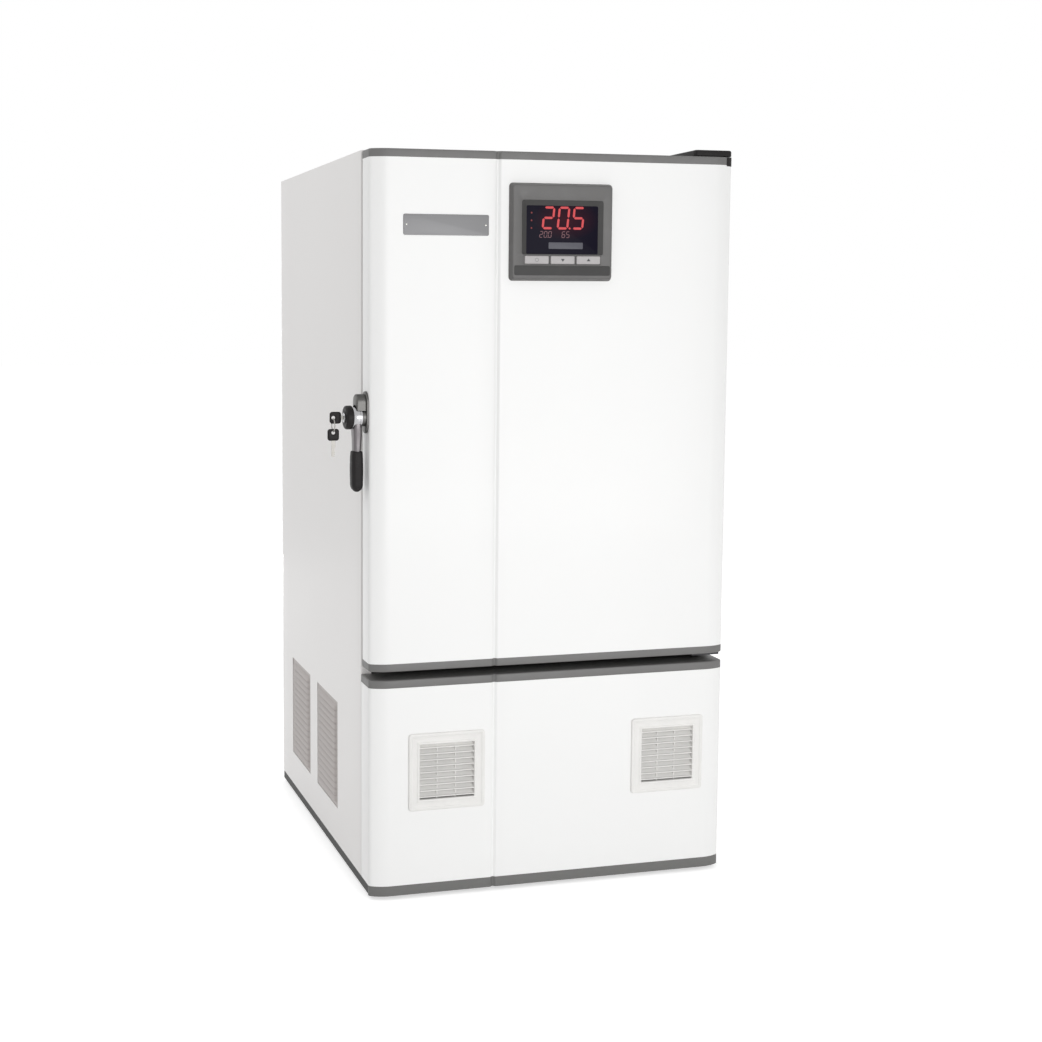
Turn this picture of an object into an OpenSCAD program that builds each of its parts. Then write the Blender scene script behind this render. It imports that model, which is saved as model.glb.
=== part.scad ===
// Upright cooling incubator: an insulated cabinet over a refrigeration compartment,
// with a lever-latched outer door, an inner glass door, sliding shelves and two fans.
// X runs to the right, Y to the back and Z up. The origin is the centre of the footprint on the floor.

/* [Cabinet] */
// Width across the side panels
body_w = 720; // [660:10:840]
// Height from the floor to the top panel
body_h = 1400; // [1300:10:1600]
// Depth from the door's face to the rear edge of the side panels
body_d = 800; // [760:10:900]
// Thickness of the painted steel sheet
sheet = 1.5; // [1:0.1:2]
// Width of the flange folded in at the front of each side panel
flange_w = 20; // [18:1:24]
// Width of the flanges folded in at the rear
rear_flange = 16; // [12:1:24]

/* [Base] */
// Gap between the floor and the plinth
foot_gap = 6; // [5:1:12]
// Height of the plinth frame
plinth_h = 20; // [16:1:40]
// Distance of each levelling foot from the plinth's edges
foot_inset = 48; // [36:1:80]
// Diameter of a foot's pad
foot_d = 44; // [30:1:50]
// Height of the lower front panel's top edge above the floor
machine_h = 420; // [400:5:480]

/* [Door] */
// Thickness of the outer door
door_t = 60; // [56:1:70]
// Gap between the door and the cabinet that the gasket fills
gasket_gap = 10; // [8:1:14]
// Gap between the lower front panel and the door
panel_gap = 16; // [14:1:24]
// Height of the grey end caps
cap_h = 15; // [12:1:28]
// Wall of the end caps
cap_wall = 3; // [2:0.5:4]
// Width of the bow at each side of the front
edge_w = 40; // [24:1:60]
// Setback of the bow at the side panels
edge_drop = 12; // [6:1:18]
// Distance of the pressed groove from the left side
groove_from_left = 243; // [180:1:250]
// Width of the pressed groove
groove_w = 13; // [8:1:18]
// Depth of the pressed groove
groove_d = 3.5; // [2:0.5:6]
// Depth of the dish in the door's inner liner
dish_depth = 15; // [8:1:20]
// Distance of the hinge axis from the right side
hinge_inset = 14; // [12:1:16]
// Distance of the hinge axis behind the door's face
hinge_back = 36; // [32:1:42]
// Diameter of the hinge pins
hinge_pin_d = 10; // [8:1:12]

/* [Chamber] */
// Thickness of the insulated side walls
wall_t = 65; // [60:1:80]
// Thickness of the insulated floor
floor_t = 56; // [50:1:70]
// Thickness of the insulated roof
roof_t = 66; // [60:1:80]
// Thickness of the insulated back
back_t = 65; // [50:1:80]
// Thickness of the stainless liner
liner_t = 1; // [0.8:0.1:1.5]
// Depth of the air duct behind the baffle
duct_d = 74; // [70:1:90]
// Thickness of the frame round the chamber's mouth
frame_t = 3; // [2:0.5:4]
// Gap between the shelves and the air duct
shelf_gap = 26; // [20:1:80]
// Distance of the shelves' front edge behind the cabinet's front
shelf_back = 95; // [90:1:120]
// Height of the lowest shelf above the chamber floor
shelf_first = 170; // [120:5:220]
// Height between shelves
shelf_pitch = 210; // [150:5:230]

/* [Display] */
// Width of the controller's bezel
bezel_w = 204; // [190:1:230]
// Height of the controller's bezel
bezel_h = 180; // [172:1:200]
// Distance of the bezel's centre from the left side
bezel_from_left = 366; // [360:1:420]
// Distance of the bezel's top below the door's top
bezel_drop = 57; // [40:1:90]
// How far the bezel stands proud of the door
bezel_proud = 12; // [8:1:16]
// Width of the display window
window_w = 150; // [140:1:176]
// Height of the display window
window_h = 98; // [80:1:104]
// Height of the keys under the window
key_h = 15; // [12:1:18]

/* [Latch] */
// Height of the latch's axis above the floor
latch_z = 910; // [800:5:1100]
// Distance of the latch's axis behind the door's face
latch_back = 32; // [31:0.5:35]
// Length of the lever from its axis to the tip of the grip
lever_len = 138; // [125:1:170]
// Length of the lever's plastic grip
grip_len = 76; // [60:1:85]

/* [Vents] */
// Width of a front vent
vent_w = 150; // [120:1:156]
// Height of a front vent
vent_h = 148; // [120:1:170]
// Distance of the left vent's centre from the left side
vent_from_left = 149; // [130:1:165]
// Distance of the right vent's centre from the right side
vent_from_right = 120; // [98:1:160]
// Height of the front vents' centres above the floor
vent_z = 242; // [200:1:270]
// Width of a side grille
grille_w = 190; // [120:5:200]
// Height of a side grille
grille_h = 228; // [160:2:260]
// Distance of the front side grille's centre behind the door's face
grille_front = 350; // [330:5:370]
// Distance between the centres of the two side grilles
grille_step = 250; // [220:5:270]
// Height of a side grille's lower edge above the floor
grille_z = 95; // [60:1:110]

/* [Hidden] */
$fn = 64;

running = 0.1;  // radial clearance of a turning fit
clear = 0.3;    // gap between faces that move past each other
seam = 0.05;    // gap between sheets that are joined edge to edge
screw_r = 2;    // shank of a panel screw
screw_hole_r = 2.2;
shelf_count = 3;

white = "white";
grey = "dimgray";
steel = "silver";

// planes of the cabinet
side_x = body_w / 2;
case_y = door_t + gasket_gap;
case_z = foot_gap + plinth_h;
door_z = machine_h + panel_gap;
door_top = body_h - 2;
skin_z0 = door_z + cap_h;
skin_z1 = door_top - cap_h;
edge_r = (edge_w * edge_w + edge_drop * edge_drop) / (2 * edge_drop);
groove_x = groove_from_left - side_x;

// planes of the chamber
frame_x = side_x - flange_w;
frame_z0 = door_z + 1;
frame_z1 = body_h - flange_w;
chamber_x = side_x - wall_t;
chamber_z0 = door_z + floor_t;
chamber_z1 = body_h - roof_t;
chamber_y1 = body_d - back_t;
liner_y = case_y + frame_t;
foam_y = liner_y + liner_t;
duct_y = chamber_y1 - duct_d;
inner_x = chamber_x - liner_t;
inner_z0 = chamber_z0 + liner_t;
inner_z1 = chamber_z1 - liner_t;
inner_y1 = chamber_y1 - liner_t;

// the outer door's hinge
hinge_x = side_x - hinge_inset;
hinge_pin_r = hinge_pin_d / 2;
bush_r = hinge_pin_r + 3;
hinge_plate_t = 4;
hinge_pin_in = cap_h - 3;
hinge_cover_h = 12;
hinge_cover_over = 2;
hinge_cover_w = hinge_inset + hinge_cover_over + 62;

// the door's liner reaches this half width between the skin's returns
liner_edge = side_x - 14;

// the latch, measured from its axis on the door's left side
latch_at = [-side_x, latch_back, latch_z];
plate_t = 4;
plate_w = 38;
plate_h = 78;
plate_up = 9;
nose_x = 22;
boss_x = 10;
boss_r = 17;
hub_r = 19;
neck_x = [11, 27];
cap_x = [28, 42];
hub_cap_r = 22;
tube_r = 12;
lock_r = 9;
lock_face = cap_x[1] + 1.5;
key_bow = 22;
key_t = 2.5;
key_hole_r = 3;
key_hole_in = 7;
key_hole_x = lock_face + 4 + key_bow - key_hole_in;
key_grip = 30;
ring_r = 12;
ring_wire = 1;
ring_drop = key_hole_r - clear - ring_wire;
rear_at = door_t - latch_back;   // the door's back, from the latch's axis
flange_at = case_y - latch_back; // the cabinet's front, from the latch's axis
hook_x = [12.5, 16.5];
hook_len = flange_at + 11;
hook_barb = 14;
hook_arm = 4;
hook_sweep = norm([hook_len, hook_barb]);
lobe_x = [4, 8.5];
case_x = 23;
case_half = hook_sweep + 2;

// the display
bezel_x = bezel_from_left - side_x;
bezel_z1 = door_top - bezel_drop;
bezel_z0 = bezel_z1 - bezel_h;
bezel_face = 3;
window_drop = 33;
window_z1 = bezel_z1 - window_drop;
window_z0 = window_z1 - window_h;
key_count = 3;
key_gap = 4;
key_w = (window_w - key_gap * (key_count - 1)) / key_count;
key_z0 = window_z0 - 3 - key_h;
key_proud = 1.5;
box_w = bezel_w - 14;
box_h = bezel_h - 14;
box_d = 34;
box_wall = 2.5;
board_y = 6;

// the inner glass door
glass_t = 5;
glass_y = liner_y + 3;
glass_axis = [inner_x - 8, glass_y + glass_t / 2];
glass_x0 = -inner_x + 5;
glass_x1 = inner_x - 4;
glass_z0 = inner_z0 + 10;
glass_z1 = inner_z1 - 10;
glass_pin_r = 3;

// shelves and what carries them
upright_d = 8;
upright_w = 20;
upright_t = 1.5;
shelf_y0 = case_y + shelf_back;
shelf_d = duct_y - shelf_gap - shelf_y0;
upright_y = [shelf_y0 + 45, shelf_y0 + shelf_d - 90];
slot_pitch = 30;
clip_reach = 14;
clip_lip = 1.5;
shelf_bar_t = 4;
shelf_x = inner_x - upright_d - clip_reach + 2 * clip_lip + shelf_bar_t;
shelf_bar = 8;
shelf_wire_r = 1.5;
function shelf_z(i) = inner_z0 + shelf_first + i * shelf_pitch;

// the chamber's fan
fan_z = inner_z1 - 160;
fan_r = 70;
fan_mouth_r = fan_r + 5;
fan_y = duct_y + 8;

// the machine compartment
coil_x = [-side_x + 60, 40];
coil_y = [180, 224];
coil_z = [case_z + 24, door_z - 86];
coil_fan_x = (coil_x[0] + coil_x[1]) / 2;
coil_fan_z = (coil_z[0] + coil_z[1]) / 2;
coil_fan_r = (coil_z[1] - coil_z[0]) / 2 - 35;
shroud_y = [coil_y[1], coil_y[1] + 40];
can_at = [side_x - 190, body_d - 210];
can_r = 92;
can_h = 205;
can_z = case_z + 22;
can_base = [110, 70];
ebox_w = 160;
ebox_d = 200;
ebox_h = 240;
ebox_x = [-side_x + 24, -side_x + 24 + ebox_w];
ebox_y = [body_d - 40 - ebox_d, body_d - 40];
ebox_z = [case_z + 20, case_z + 20 + ebox_h];
pan_gap = 20;
pan_h = 34;
pan_x = [ebox_x[1] + pan_gap, can_at[0] - can_base[0] - pan_gap];
pan_y = [body_d - 230, body_d - 60];
drain_at = [(pan_x[0] + pan_x[1]) / 2, body_d - 160];
inlet_x = -side_x + 110;
inlet_z = door_z - 80;
rear_screw_head = 2.5;

// how far the pieces reach past the cabinet, which centres the footprint
reach_left = key_hole_x + key_hole_in;
reach_right = hinge_cover_over;
reach_front = bezel_proud + key_proud;
reach_rear = rear_screw_head;
footprint = [(reach_left - reach_right) / 2, -(body_d + reach_rear - reach_front) / 2, 0];

// A box between two corners
module block(low, high) translate(low) cube(high - low);

// A round bar between two points
module rod(from, to, r) {
    v = to - from;
    translate(from) rotate([0, acos(v[2] / norm(v)), atan2(v[1], v[0])]) cylinder(h = norm(v), r = r);
}

// A flat shape in X and Z, given thickness along Y
module xz_plate(y0, y1) translate([0, y1, 0]) rotate([90, 0, 0]) linear_extrude(y1 - y0) children();

// A flat shape in Y and Z, given thickness along X
module yz_plate(x0, x1) translate([x0, 0, 0]) rotate([90, 0, 90]) linear_extrude(x1 - x0) children();

// A round bar along X, and one along Y
module x_bar(x0, x1, r) translate([x0, 0, 0]) rotate([0, 90, 0]) cylinder(h = x1 - x0, r = r);
module y_bar(y0, y1, r) translate([0, y1, 0]) rotate([90, 0, 0]) cylinder(h = y1 - y0, r = r);

// A rectangle with round corners, centred
module round_rect(w, h, r) {
    square([w - 2 * r, h], center = true);
    square([w, h - 2 * r], center = true);
    for (x = [-1, 1], z = [-1, 1]) translate([x * (w / 2 - r), z * (h / 2 - r)]) circle(r);
}

// A rectangular ring between two heights and two half widths, in X and Z
module ring_plate(outer_x, outer_z, inner_x, inner_z, y0, y1) difference() {
    block([-outer_x, y0, outer_z[0]], [outer_x, y1, outer_z[1]]);
    block([-inner_x, y0 - 1, inner_z[0]], [inner_x, y1 + 1, inner_z[1]]);
}

// One right-angled elbow of pipe at a corner, between two unit directions
module elbow(corner, u_in, u_out, bend, r) {
    c = corner - u_in * bend + u_out * bend;
    z = cross(-u_out, u_in);
    multmatrix([
        [-u_out[0], u_in[0], z[0], c[0]],
        [-u_out[1], u_in[1], z[1], c[1]],
        [-u_out[2], u_in[2], z[2], c[2]],
        [0, 0, 0, 1]
    ]) rotate_extrude(angle = 90) translate([bend, 0]) circle(r, $fn = 24);
}

// A pipe through points that turn at right angles
module pipe(points, r, bend) {
    last = len(points) - 1;
    u = [for (i = [0:last - 1]) (points[i + 1] - points[i]) / norm(points[i + 1] - points[i])];
    for (i = [0:last - 1]) {
        start = points[i] + u[i] * (i > 0 ? bend : 0);
        end = points[i + 1] - u[i] * (i < last - 1 ? bend : 0);
        rod(start, end, r, $fn = 24);
    }
    for (i = [1:1:last - 1]) elbow(points[i], u[i - 1], u[i], bend, r);
}

// A round-headed screw along +Y, its head's seat at y = 0 and its shank going to y = -shank
module rear_screw(shank) {
    y_bar(-shank, 0.5, screw_r);
    y_bar(0, rear_screw_head, 4);
}

// Plan of the bowed front, set in from the outline all round, from the face to y = back
module front_outline(inset, back) {
    slope = groove_d / (groove_w / 2);
    apex = groove_d + inset * sqrt(1 + slope * slope);
    mouth = (apex - inset + 1) / slope;
    difference() {
        translate([-side_x + inset, inset]) square([body_w - 2 * inset, back - inset]);
        for (s = [0, 1]) mirror([s, 0]) translate([side_x - edge_w, 0]) difference() {
            translate([0, -1]) square([edge_w + 1, edge_r + 1]);
            translate([0, edge_r]) circle(edge_r - inset, $fn = 96);
        }
        polygon([[groove_x - mouth, inset - 1], [groove_x, apex], [groove_x + mouth, inset - 1]]);
    }
}

module front_shell(z0, z1, back) translate([0, 0, z0]) linear_extrude(z1 - z0) difference() {
    front_outline(0, back);
    front_outline(sheet, back + 1);
}

// Plinth: a channel frame under the whole footprint, with a deck and four tapped bosses
function foot_points() = [
    for (x = [-1, 1], y = [foot_inset + 20, body_d - foot_inset]) [x * (side_x - foot_inset), y]
];
foot_boss_r = 12;
stud_r = 5;

module base_frame() color("dimgray") difference() {
    union() {
        difference() {
            translate([0, 0, foot_gap]) linear_extrude(plinth_h) front_outline(0, body_d);
            translate([0, 0, foot_gap - 1]) linear_extrude(plinth_h - 1) front_outline(2, body_d - 2);
        }
        difference() {
            translate([0, 0, foot_gap]) linear_extrude(2) front_outline(1, body_d - 1);
            translate([0, 0, foot_gap - 1]) linear_extrude(4)
                translate([-side_x + 26, 40]) square([body_w - 52, body_d - 66]);
        }
        for (p = foot_points()) translate([p[0], p[1], foot_gap])
            cylinder(h = plinth_h - 1, r = foot_boss_r);
    }
    for (p = foot_points()) translate([p[0], p[1], foot_gap - 1])
        cylinder(h = plinth_h - 2, r = stud_r + clear);
}

// Levelling foot: a rubber-faced pad with a rolled edge and a threaded stud
module levelling_feet() color("black") for (p = foot_points()) translate([p[0], p[1], 0]) {
    rotate_extrude() {
        square([foot_d / 2 - 1, foot_gap - 1]);
        translate([0, 1]) square([foot_d / 2, foot_gap - 3]);
        square([stud_r, case_z - 4]);
    }
}

// Side panel: a folded sheet with a flange along its front and rear, and windows for the louvre plates
grille_y = [grille_front, grille_front + grille_step];
window_lip = 4;

module side_panel() difference() {
    union() {
        block([side_x - sheet, case_y, case_z], [side_x, body_d, body_h]);
        block([frame_x, case_y, case_z], [side_x, case_y + sheet, body_h - sheet]);
        block([side_x - rear_flange, body_d - sheet, case_z], [side_x, body_d, body_h - sheet]);
    }
    for (y = grille_y)
        block([side_x - 5, y - grille_w / 2 + window_lip, grille_z + window_lip],
              [side_x + 1, y + grille_w / 2 - window_lip, grille_z + grille_h - window_lip]);
    for (p = rear_screw_points()) if (p[0] > 0) translate([p[0], body_d, p[1]]) y_bar(-5, 1, screw_hole_r);
    for (p = front_screw_points()) if (p[0] > 0) translate([p[0], case_y, p[1]]) y_bar(-1, 5, screw_hole_r);
}

module side_panel_right() color(white) side_panel();

// The left panel's front flange also takes the lock's hook through a slot
module side_panel_left() color(white) difference() {
    mirror([1, 0, 0]) side_panel();
    translate(latch_at) block([hook_x[0] - 2.5, flange_at - 1, -5], [hook_x[1] + 2, flange_at + 3, 36]);
}

screw_in = 40;  // distance of a panel's end screws from its ends
rear_screw_z = concat(
    [case_z + screw_in, door_z - screw_in],
    [for (k = [0:4]) door_z + screw_in + k * (body_h - door_z - 2 * screw_in) / 4]);
function rear_screw_points() = [for (x = [-1, 1], z = rear_screw_z) [x * (side_x - rear_flange / 2), z]];
function front_screw_points() = [
    for (x = [-1, 1], k = [0:2])
        [x * (side_x - sheet - 8), case_z + screw_in + k * (machine_h - cap_h - case_z - 2 * screw_in) / 2]
];
function hinge_screw_points() = [
    [hinge_x - 44, case_y + 30], [hinge_x - 12, case_y + 30], [hinge_x - 28, case_y + 60]
];

// Top panel: closes the casing, with a flange turned down at the front and the rear
module top_panel() color(white) difference() {
    union() {
        block([-side_x + sheet, case_y, body_h - sheet], [side_x - sheet, body_d, body_h]);
        block([-frame_x, case_y, frame_z1], [frame_x, case_y + sheet, body_h]);
        block([-side_x + rear_flange, body_d - sheet, body_h - flange_w],
              [side_x - rear_flange, body_d, body_h]);
    }
    for (p = hinge_screw_points()) translate([p[0], p[1], body_h - 5]) cylinder(h = 10, r = screw_hole_r);
}

module screw_holes_rear() for (p = rear_screw_points())
    translate([p[0], body_d, p[1]]) y_bar(-10, 1, screw_hole_r);

// Back of the insulated box
module back_panel() color(white) difference() {
    block([-side_x + sheet, body_d - 2 * sheet, door_z], [side_x - sheet, body_d - sheet, body_h - sheet]);
    screw_holes_rear();
}

// Back of the machine compartment, slotted for the warm air and cut for the mains inlet
rear_slot_pitch = 22;
rear_slot_h = 7;
rear_slots = floor((inlet_z - 50 - case_z - 60) / rear_slot_pitch) + 1;

module rear_cover() color(white) difference() {
    block([-side_x + sheet, body_d - 2 * sheet, case_z], [side_x - sheet, body_d - sheet, door_z]);
    screw_holes_rear();
    for (x = [-50, 140], k = [0:rear_slots - 1]) translate([x, body_d, case_z + 60 + k * rear_slot_pitch])
        block([-75, -9, 0], [75, 1, rear_slot_h]);
    translate([inlet_x, 0, inlet_z]) block([-24, body_d - 9, -14], [24, body_d + 1, 14]);
}

// Rail and deck between the chamber and the machine compartment
rail_h = 32;
rail_d = 30;
deck_z = door_z - sheet;
plate_z = [door_z - 1.8 - hinge_plate_t - 1, door_z - 1.8];

module mid_rail() color("dimgray") difference() {
    union() {
        block([-side_x + sheet, liner_y, deck_z], [side_x - sheet, body_d - 2 * sheet, door_z]);
        block([-frame_x, case_y, door_z - rail_h], [frame_x, case_y + rail_d, door_z]);
    }
    block([-frame_x + 2, case_y + 2, door_z - rail_h + 2], [frame_x - 2, case_y + rail_d - 2, deck_z - 2]);
    block([bottom_hinge_x[0] - clear, case_y - 1, plate_z[0] - clear],
          [frame_x + 1, case_y + 20, plate_z[1] + clear]);
    translate([drain_at[0], drain_at[1], deck_z - 1]) cylinder(h = 9, r = drain_r + clear);
    for (x = line_x) translate([x, line_y, deck_z - 1]) cylinder(h = 9, r = line_r + clear);
}

// Foam between the casing and the liner
module insulation() color("khaki") difference() {
    block([-side_x + sheet, foam_y, door_z], [side_x - sheet, body_d - 2 * sheet, body_h - sheet]);
    block([-chamber_x, foam_y - 1, chamber_z0], [chamber_x, chamber_y1, chamber_z1]);
    translate(latch_at) keeper_space(0);
    translate([drain_at[0], drain_at[1], door_z - 1]) cylinder(h = floor_t + 2, r = drain_r);
    for (x = line_x) {
        block([x - line_way, line_y - line_way, door_z - 1],
              [x + line_way, line_y + line_way, line_z + line_way]);
        block([x - line_way, chamber_y1 - 1, line_z - line_way],
              [x + line_way, line_y + line_way, line_z + line_way]);
    }
    for (p = hinge_screw_points()) translate([p[0], p[1], body_h - 12]) cylinder(h = 14, r = screw_hole_r);
}

// Stainless liner: a box open at the front, with a lip that the face frame covers and a let-in floor sheet
chamber_lip = 12;

module inner_chamber() color(steel) {
    difference() {
        union() {
            block([-chamber_x, liner_y, chamber_z0], [chamber_x, chamber_y1, chamber_z1]);
            block([-chamber_x - chamber_lip, liner_y, chamber_z0 - chamber_lip],
                  [chamber_x + chamber_lip, foam_y, chamber_z1 + chamber_lip]);
        }
        block([-inner_x, liner_y - 1, chamber_z0 - seam], [inner_x, inner_y1, inner_z1]);
        for (x = line_x) translate([x, 0, line_z]) y_bar(inner_y1 - 1, chamber_y1 + 1, line_r + clear);
    }
    difference() {
        block([seam - inner_x, liner_y, chamber_z0], [inner_x - seam, inner_y1 - seam, inner_z0]);
        translate([drain_at[0], drain_at[1], chamber_z0 - 1]) cylinder(h = 4, r = drain_r - 2);
    }
}

// Frame round the chamber's mouth, which the gasket seals on
module face_frame() color(white)
    ring_plate(frame_x, [frame_z0, frame_z1], inner_x, [inner_z0, inner_z1], case_y, liner_y);

// Lower front panel: a folded shell with the groove, two vent windows and screw flanges
vents = [[vent_from_left - side_x, vent_z], [side_x - vent_from_right, vent_z]];
vent_lip = 8;

module lower_panel() color(white) difference() {
    union() {
        front_shell(case_z, machine_h - cap_h, case_y);
        for (s = [0, 1]) mirror([s, 0, 0])
            block([side_x - 14 - sheet, case_y - sheet, case_z], [side_x - 0.5, case_y, machine_h - cap_h]);
    }
    for (v = vents)
        block([v[0] - vent_w / 2 + vent_lip, -1, v[1] - vent_h / 2 + vent_lip],
              [v[0] + vent_w / 2 - vent_lip, 5, v[1] + vent_h / 2 - vent_lip]);
    for (p = front_screw_points()) translate([p[0], case_y, p[1]]) y_bar(-5, 1, screw_hole_r);
}

// Grey end cap: a tray with the front's outline, open on the side that meets the skin
module end_cap(back) {
    difference() {
        linear_extrude(cap_h) front_outline(0, back);
        translate([0, 0, -1]) linear_extrude(cap_h - cap_wall + 1) front_outline(cap_wall, back - cap_wall);
    }
}

module lower_panel_cap() color(grey) translate([0, 0, machine_h - cap_h]) end_cap(case_y);

// Front vent: a flanged frame with downward louvres
vent_open_w = vent_w - 42;
vent_open_h = vent_h - 40;
vent_blades = 9;
vent_proud = 4;

module vent_grille() {
    difference() {
        union() {
            xz_plate(-vent_proud, 0) round_rect(vent_w, vent_h, 5);
            block([-vent_w / 2 + vent_lip + 0.5, -1, -vent_h / 2 + vent_lip + 0.5],
                  [vent_w / 2 - vent_lip - 0.5, 16, vent_h / 2 - vent_lip - 0.5]);
        }
        block([-vent_open_w / 2, -9, -vent_open_h / 2], [vent_open_w / 2, 20, vent_open_h / 2]);
        difference() {
            xz_plate(-vent_proud - 1, -vent_proud + 1.5) round_rect(vent_w - 12, vent_h - 12, 3);
            xz_plate(-vent_proud - 2, 0) round_rect(vent_open_w + 8, vent_open_h + 8, 3);
        }
    }
    for (k = [0:vent_blades - 1])
        translate([0, -vent_proud + 2, (k + 0.5) * vent_open_h / vent_blades - vent_open_h / 2])
            rotate([35, 0, 0]) block([-vent_open_w / 2 - 0.5, 0, -0.8], [vent_open_w / 2 + 0.5, 15, 0.8]);
}

module vent_grilles() color("gainsboro") for (v = vents) translate([v[0], 0, v[1]]) vent_grille();

// Louvre plate: pressed hoods over a column of slots, for the right side
louvres = 15;
louvre_reach = 5;

module louvre_plate() {
    pitch = (grille_h - 24) / louvres;
    run = grille_w - 26;
    difference() {
        union() {
            block([-sheet, -grille_w / 2, 0], [0, grille_w / 2, grille_h]);
            for (k = [0:louvres - 1]) translate([0, run / 2, 12 + k * pitch]) rotate([90, 0, 0])
                linear_extrude(run)
                    polygon([[-0.2, 1], [louvre_reach, 1], [louvre_reach, 2.2], [-0.2, pitch - 2.5]]);
        }
        for (k = [0:louvres - 1]) translate([0, run / 2 - sheet, 12 + k * pitch]) rotate([90, 0, 0])
            linear_extrude(run - 2 * sheet)
                polygon([[-sheet - 1, 0.9], [louvre_reach - sheet, 0.9], [louvre_reach - sheet, 1.4],
                         [-sheet - 1, pitch - 4.4]]);
    }
}

module side_grilles() color("lightgray") for (s = [0, 1], y = grille_y)
    mirror([s, 0, 0]) translate([side_x - sheet, y, grille_z]) louvre_plate();

// Slotted shelf uprights, two on each side wall
upright_z = [inner_z0 + 12, inner_z1 - 12];

module shelf_uprights() color(steel) for (s = [0, 1], y = upright_y) mirror([s, 0, 0]) difference() {
    block([inner_x - upright_d, y - upright_w / 2, upright_z[0]],
          [inner_x, y + upright_w / 2, upright_z[1]]);
    block([inner_x - upright_d + upright_t, y - upright_w / 2 + upright_t, upright_z[0] - 1],
          [inner_x + 1, y + upright_w / 2 - upright_t, upright_z[1] + 1]);
    for (z = [upright_z[0] + 12:slot_pitch:upright_z[1] - 20])
        block([inner_x - upright_d - 1, y - 2.5, z], [inner_x - upright_d + 4, y + 2.5, z + 12]);
}

// Clips that hook on the uprights and carry the shelves
module shelf_clip() {
    block([-clip_reach, -7, -2], [0, 7, 0]);
    block([-1.5, -7, -16], [0, 7, 0]);
    block([-clip_reach, -7, -2], [-clip_reach + clip_lip, 7, 3]);
}

module shelf_clips() color(steel) for (s = [0, 1], y = upright_y, i = [0:shelf_count - 1])
    mirror([s, 0, 0]) translate([inner_x - upright_d, y, shelf_z(i)]) shelf_clip();

// Shelf: a flat-bar frame with cross bars and wires that run from front to back
module shelf(i) color(steel) translate([0, shelf_y0, shelf_z(i)]) {
    x = shelf_x;
    wires = floor((2 * x - 40) / 22);
    difference() {
        block([-x, 0, 0], [x, shelf_d, shelf_bar]);
        block([shelf_bar_t - x, shelf_bar_t, -1], [x - shelf_bar_t, shelf_d - shelf_bar_t, shelf_bar + 1]);
    }
    for (y = [shelf_d / 3, 2 * shelf_d / 3]) block([-x + 2, y - 2, 0], [x - 2, y + 2, shelf_bar - 1]);
    for (k = [1:wires]) translate([-x + k * 2 * x / (wires + 1), 0, shelf_bar - 2.5])
        y_bar(2, shelf_d - 2, shelf_wire_r, $fn = 16);
}

// Baffle in front of the evaporator: fan mouth with a ring guard, return slots and edge folds
duct_t = 1.2;
slot_h = 8;
slot_cols = 5;
return_pitch = 18;
outlet_pitch = 26;
outlet_z0 = 300;
outlet_rows = floor((inner_z1 - inner_z0 - outlet_z0 - 110) / outlet_pitch);
col_pitch = 2 * (inner_x - 44) / slot_cols;

module duct_slot(x, z, half) block([x - half, duct_y - 1, z], [x + half, duct_y + 3, z + slot_h]);

module air_duct() color(steel) {
    difference() {
        block([-inner_x, duct_y, inner_z0], [inner_x, duct_y + duct_t, inner_z1]);
        translate([0, 0, fan_z]) y_bar(duct_y - 1, duct_y + 3, fan_mouth_r);
        for (x = [-2:2], k = [0:7])
            duct_slot(x * col_pitch, inner_z0 + 50 + k * return_pitch, col_pitch / 2 - 12);
        for (s = [-1, 1], k = [0:outlet_rows])
            duct_slot(s * (inner_x - 79), inner_z0 + outlet_z0 + k * outlet_pitch, 30);
    }
    for (z = [inner_z0, inner_z1 - duct_t])
        block([-inner_x, duct_y, z], [inner_x, duct_y + 24, z + duct_t]);
    translate([0, duct_y, fan_z]) {
        for (r = [20:14:fan_mouth_r]) rotate([90, 0, 0]) rotate_extrude() translate([r, 0]) square([2, 3]);
        for (a = [0, 90]) rotate([0, a, 0]) block([-fan_mouth_r - 4, -3, -1.5], [fan_mouth_r + 4, 0, 1.5]);
    }
}

// Finned evaporator on two brackets behind the baffle
evap_x = 190;
evap_h = 220;
evap_drop = 180;
evap_z = [fan_z - evap_drop - evap_h, fan_z - evap_drop];
evap_y = [duct_y + 14, inner_y1 - 8];
fin_t = 1;
bend_r = 15;
bend_pitch = 60;
coil_tube_r = 4;
coil_foot = 24;

module fin_block(low, high, fins) {
    step = (high[0] - low[0] - fin_t) / (fins - 1);
    difference() {
        block(low, high);
        for (k = [0:fins - 2]) block([low[0] + k * step + fin_t, low[1] - 1, low[2] - 1],
                                     [low[0] + (k + 1) * step, high[1] - 6, high[2] + 1]);
    }
}

// Column of return bends on one end of a coil, at x, turned to the side s
module return_bends(s, x, y, z) for (at = [z[0] + bend_pitch / 2:bend_pitch:z[1] - bend_pitch / 2])
    translate([x, (y[0] + y[1]) / 2, at]) rotate([90, s * 90, 0])
        rotate_extrude(angle = 180) translate([bend_r, 0]) circle(coil_tube_r, $fn = 24);

module evaporator() color("gainsboro") {
    fin_block([-evap_x, evap_y[0], evap_z[0]], [evap_x, evap_y[1], evap_z[1]], 26);
    for (s = [-1, 1]) {
        return_bends(s, s * evap_x, evap_y, evap_z);
        translate([s * (evap_x - 30), 0, 0])
            block([-coil_foot / 2, evap_y[1], evap_z[0] + 20], [coil_foot / 2, inner_y1, evap_z[1] - 20]);
    }
}

// Motor of the chamber fan on its spider bracket
shaft_r = 3;
motor_y = [duct_y + 34, duct_y + 66];

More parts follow.
